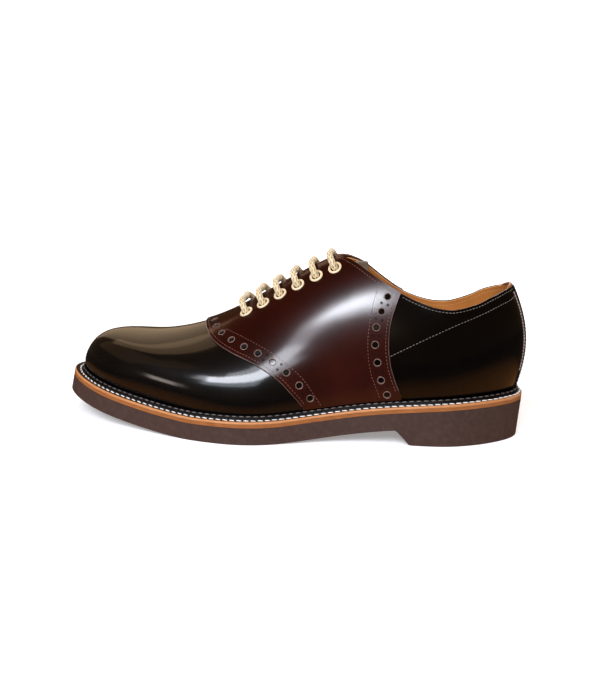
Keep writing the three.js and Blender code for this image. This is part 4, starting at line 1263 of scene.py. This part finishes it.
underDepth = -(saddleTop + stack["wall"] + lace["clear"] + lace["diameter"] / 2)
overHeight = eyelet["height"] + lace["over"] + lace["diameter"] / 2
lacePoints = []
laceFaces = []
laceCreviceShades = []
offset = 0
for pair in range(eyelet["pairs"]):
    ends = []
    for centre, towards, out in rings:
        c, t, n = centre[pair], towards[pair], out[pair]
        ends.append([c + n * underDepth, c + n * lace["low"] * overHeight,
                     c + n * overHeight + t * lace["near"],
                     c + n * (overHeight + lace["lift"]) + t * lace["edge"]])
    middle = (ends[0][3] + ends[1][3]) / 2 + np.array([0, 0, lace["sag"]])
    path = smoothPath(ends[0] + [middle] + ends[1][::-1], lace["step"])
    gap, grid = braidedTube(path, np.array([1.0, 0.0, 0.3]), lace["diameter"])
    laceCreviceShades.append(gap.ravel())
    lacePoints.append(grid.reshape(-1, 3))
    laceFaces.append(gridFaces(*gap.shape, closedRows=True) + offset)
    offset += gap.size
lacePiece = makePiece("laceBraid", np.concatenate(lacePoints), np.concatenate(laceFaces),
                      [creamCotton], weld=False)
# The point attribute carries the painted shade of the crevices to the cotton material
laceCreviceShadeLayer = lacePiece.data.attributes.new("gap", "FLOAT", "POINT")
laceCreviceShadeLayer.data.foreach_set("value", np.concatenate(laceCreviceShades).astype(np.float32))
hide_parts("lace")
print("lace made")

# The studio. White paper glows more further from the shoe, so that it runs into the white behind.
# Glossy rays see instead a painted reflection: a dim brown glow for the table that the photo shows
# there.
floorMaterial, floorTree, floorShader = newMaterial("whitePaper", {
    "Base Color": linear("#f2f3f5"), "Roughness": 0.9, "Specular IOR Level": 0.1,
    "Emission Color": (1, 1, 1, 1),
})
floorPlace = addNode(floorTree, "ShaderNodeTexCoord").outputs["Object"]
floorDistance = addNode(floorTree, "ShaderNodeVectorMath", {0: floorPlace}, operation="LENGTH")
floorGlow = addNode(floorTree, "ShaderNodeMapRange", {
    "Value": floorDistance.outputs["Value"], "From Min": 0.22, "From Max": 0.75, "To Min": 0.3,
    "To Max": 1.1,
}, interpolation_type="SMOOTHSTEP")
floorRay = addNode(floorTree, "ShaderNodeLightPath")
glowShare = addNode(floorTree, "ShaderNodeMapRange", {
    "Value": floorRay.outputs["Is Camera Ray"], "To Min": 0.55, "To Max": 1.0,
})
glowSeen = addNode(floorTree, "ShaderNodeMath", {
    0: floorGlow.outputs["Result"], 1: glowShare.outputs["Result"],
}, operation="MULTIPLY")
connect(floorTree, glowSeen.outputs["Value"], floorShader.inputs["Emission Strength"])
nearShoe = addNode(floorTree, "ShaderNodeVectorMath", {0: floorPlace, 1: (0.4, 1, 0)},
                   operation="MULTIPLY")
nearShoe = addNode(floorTree, "ShaderNodeVectorMath", {0: nearShoe.outputs["Vector"]},
                   operation="LENGTH")
# Painted reflection: a brown glow, brighter near the shoe, that only glossy rays see
mirroredGlowShare = addNode(floorTree, "ShaderNodeMapRange", {
    "Value": nearShoe.outputs["Value"], "From Min": 0.07, "From Max": 0.15,
}, interpolation_type="SMOOTHSTEP")
mirroredGlowColour = ramp(floorTree, mirroredGlowShare.outputs["Result"], ("#a46a38", "#2a211c"), (0, 1))
mirroredTableGlow = addNode(floorTree, "ShaderNodeEmission", {"Color": mirroredGlowColour, "Strength": 1.1})
paperWithMirroredGlow = addNode(floorTree, "ShaderNodeMixShader", {
    0: floorRay.outputs["Is Glossy Ray"], 1: floorShader.outputs["BSDF"],
    2: mirroredTableGlow.outputs["Emission"],
})
connect(floorTree, paperWithMirroredGlow.outputs["Shader"], floorTree.nodes["Material Output"].inputs["Surface"])
floorSize = {"side": 4.0, "front": 0.34}
floorMesh = bpy.data.meshes.new("floor")
floorMesh.from_pydata([
    (-floorSize["side"], -floorSize["front"], 0), (floorSize["side"], -floorSize["front"], 0),
    (floorSize["side"], floorSize["side"], 0), (-floorSize["side"], floorSize["side"], 0),
], [], [(0, 1, 2, 3)])
floorMesh.materials.append(floorMaterial)
floor = addObject("floor", floorMesh)
# What the lights aim at, and the way up
aim = np.array([0, 0, 0.05])
upward = np.array([0, 0, 1.0])


# Light that faces the shoe from an azimuth (from the front, towards the heel), an elevation
# and a distance, and lights only some pieces
def softbox(name, direction, size, power, colour, pieces):
    light = bpy.data.lights.new(name, "AREA")
    light.shape = "RECTANGLE"
    light.size, light.size_y = size
    light.energy = power
    light.color = linear(colour)[:3]
    azimuth, elevation, away = direction
    turn, tilt = azimuth * degree, elevation * degree
    back = np.array([math.sin(turn) * math.cos(tilt), -math.cos(turn) * math.cos(tilt), math.sin(tilt)])
    side = unit(np.cross(upward, back))
    lamp = addObject(name, light)
    lamp.matrix_world = axesMatrix(side, np.cross(back, side), back, aim + away * back)
    lit = bpy.data.collections.new(name + "Receivers")
    for piece in pieces:
        lit.objects.link(piece)
    lamp.light_linking.receiver_collection = lit


# Polished pieces each have their own lights, as each mirrors another part of the room in the
# photo: (name, direction, size in metres, power, colour, pieces that it lights)
vampOnly = [vampPiece]
saddleOnly = [saddlePiece]
quartersOnly = [quarterPiece, stayPiece]
notPolished = [piece for piece in bpy.context.scene.objects if piece.type == "MESH"
               and piece not in vampOnly + saddleOnly + quartersOnly]
lights = [
    ("panel", (-10.0, 34.5, 1.3), (0.96, 0.24), 15.0, "#f1f5ff", vampOnly),
    ("panelEnd", (-36.0, 34.0, 1.3), (0.18, 0.20), 0.6, "#f1f5ff", vampOnly),
    ("panelHaze", (-12.0, 26.0, 1.3), (1.0, 0.18), 2.4, "#d4e4f0", vampOnly),
    ("panelTop", (-5.0, 42.0, 1.3), (0.68, 0.18), 2.1, "#f1f5ff", vampOnly),
    ("spot", (-48.0, 5.5, 1.3), (0.18, 0.18), 0.55, "#fff0e4", vampOnly),
    ("backWarm", (180.0, 45.0, 1.3), (0.70, 0.55), 7.0, "#ffcf9f", vampOnly),
    ("saddleBright", (-21.0, 33.5, 1.3), (0.20, 0.18), 4.6, "#f1f5ff", saddleOnly),
    ("saddleMiddle", (-10.0, 37.5, 1.3), (0.34, 0.22), 1.3, "#f1f5ff", saddleOnly),
    ("saddleRight", (5.0, 37.0, 1.3), (0.24, 0.26), 3.0, "#f1f5ff", saddleOnly),
    ("saddleLower", (12.0, 29.0, 1.3), (0.22, 0.20), 1.1, "#f1f5ff", saddleOnly),
    ("saddleTop", (-150.0, 50.0, 1.4), (0.7, 0.6), 1.6, "#ffc8a0", saddleOnly),
    ("quarterGlow", (-20.0, 18.0, 1.3), (0.22, 0.22), 1.3, "#ffe0c4", quartersOnly),
    ("quarterUpper", (12.0, 39.0, 1.3), (0.40, 0.20), 0.45, "#f1f5ff", quartersOnly),
    ("quarterTop", (-20.0, 60.0, 1.3), (0.95, 0.41), 4.0, "#dce8ff", quartersOnly),
    ("behind", (-150.0, 32.0, 1.6), (0.9, 1.5), 2.6, "#ffdcb4", vampOnly),
    ("leftHigh", (-122.0, 55.0, 1.4), (0.6, 0.65), 1.0, "#ffd4a4", vampOnly),
    ("left", (-85.0, 38.0, 1.6), (1.4, 1.0), 0.9, "#ffc890", vampOnly + quartersOnly),
    ("soft", (-14.0, 40.0, 1.3), (1.3, 0.7), 24.0, "#f6f7ff", notPolished),
    ("softTop", (40.0, 75.0, 1.5), (1.0, 1.0), 5.0, "#fff4e8", notPolished),
    ("softFar", (172.0, 32.0, 1.4), (1.3, 0.6), 12.0, "#fff8f0", notPolished),
    ("farSaddle", (175.0, 28.0, 1.4), (0.9, 0.35), 6.0, "#f6f4ff", saddleOnly + quartersOnly),
]
for light in lights:
    softbox(*light)

# The camera sees white behind the floor, while the shoe is lit and mirrored by a dim room
studio = {"room": "#d8a878", "roomGlow": 0.09, "whiteGlow": 1.05}
world = bpy.data.worlds.new("studio")
world.use_nodes = True
worldTree = world.node_tree
room = worldTree.nodes["Background"]
room.inputs["Color"].default_value = linear(studio["room"])
room.inputs["Strength"].default_value = studio["roomGlow"]
white = addNode(worldTree, "ShaderNodeBackground", {
    "Color": (1, 1, 1, 1), "Strength": studio["whiteGlow"],
})
seen = addNode(worldTree, "ShaderNodeLightPath").outputs["Is Camera Ray"]
both = addNode(worldTree, "ShaderNodeMixShader", {
    0: seen, 1: room.outputs["Background"], 2: white.outputs["Background"],
})
connect(worldTree, both.outputs["Shader"], worldTree.nodes["World Output"].inputs["Surface"])
bpy.context.scene.world = world
bpy.context.scene.view_settings.view_transform = "Standard"
print("studio lit")
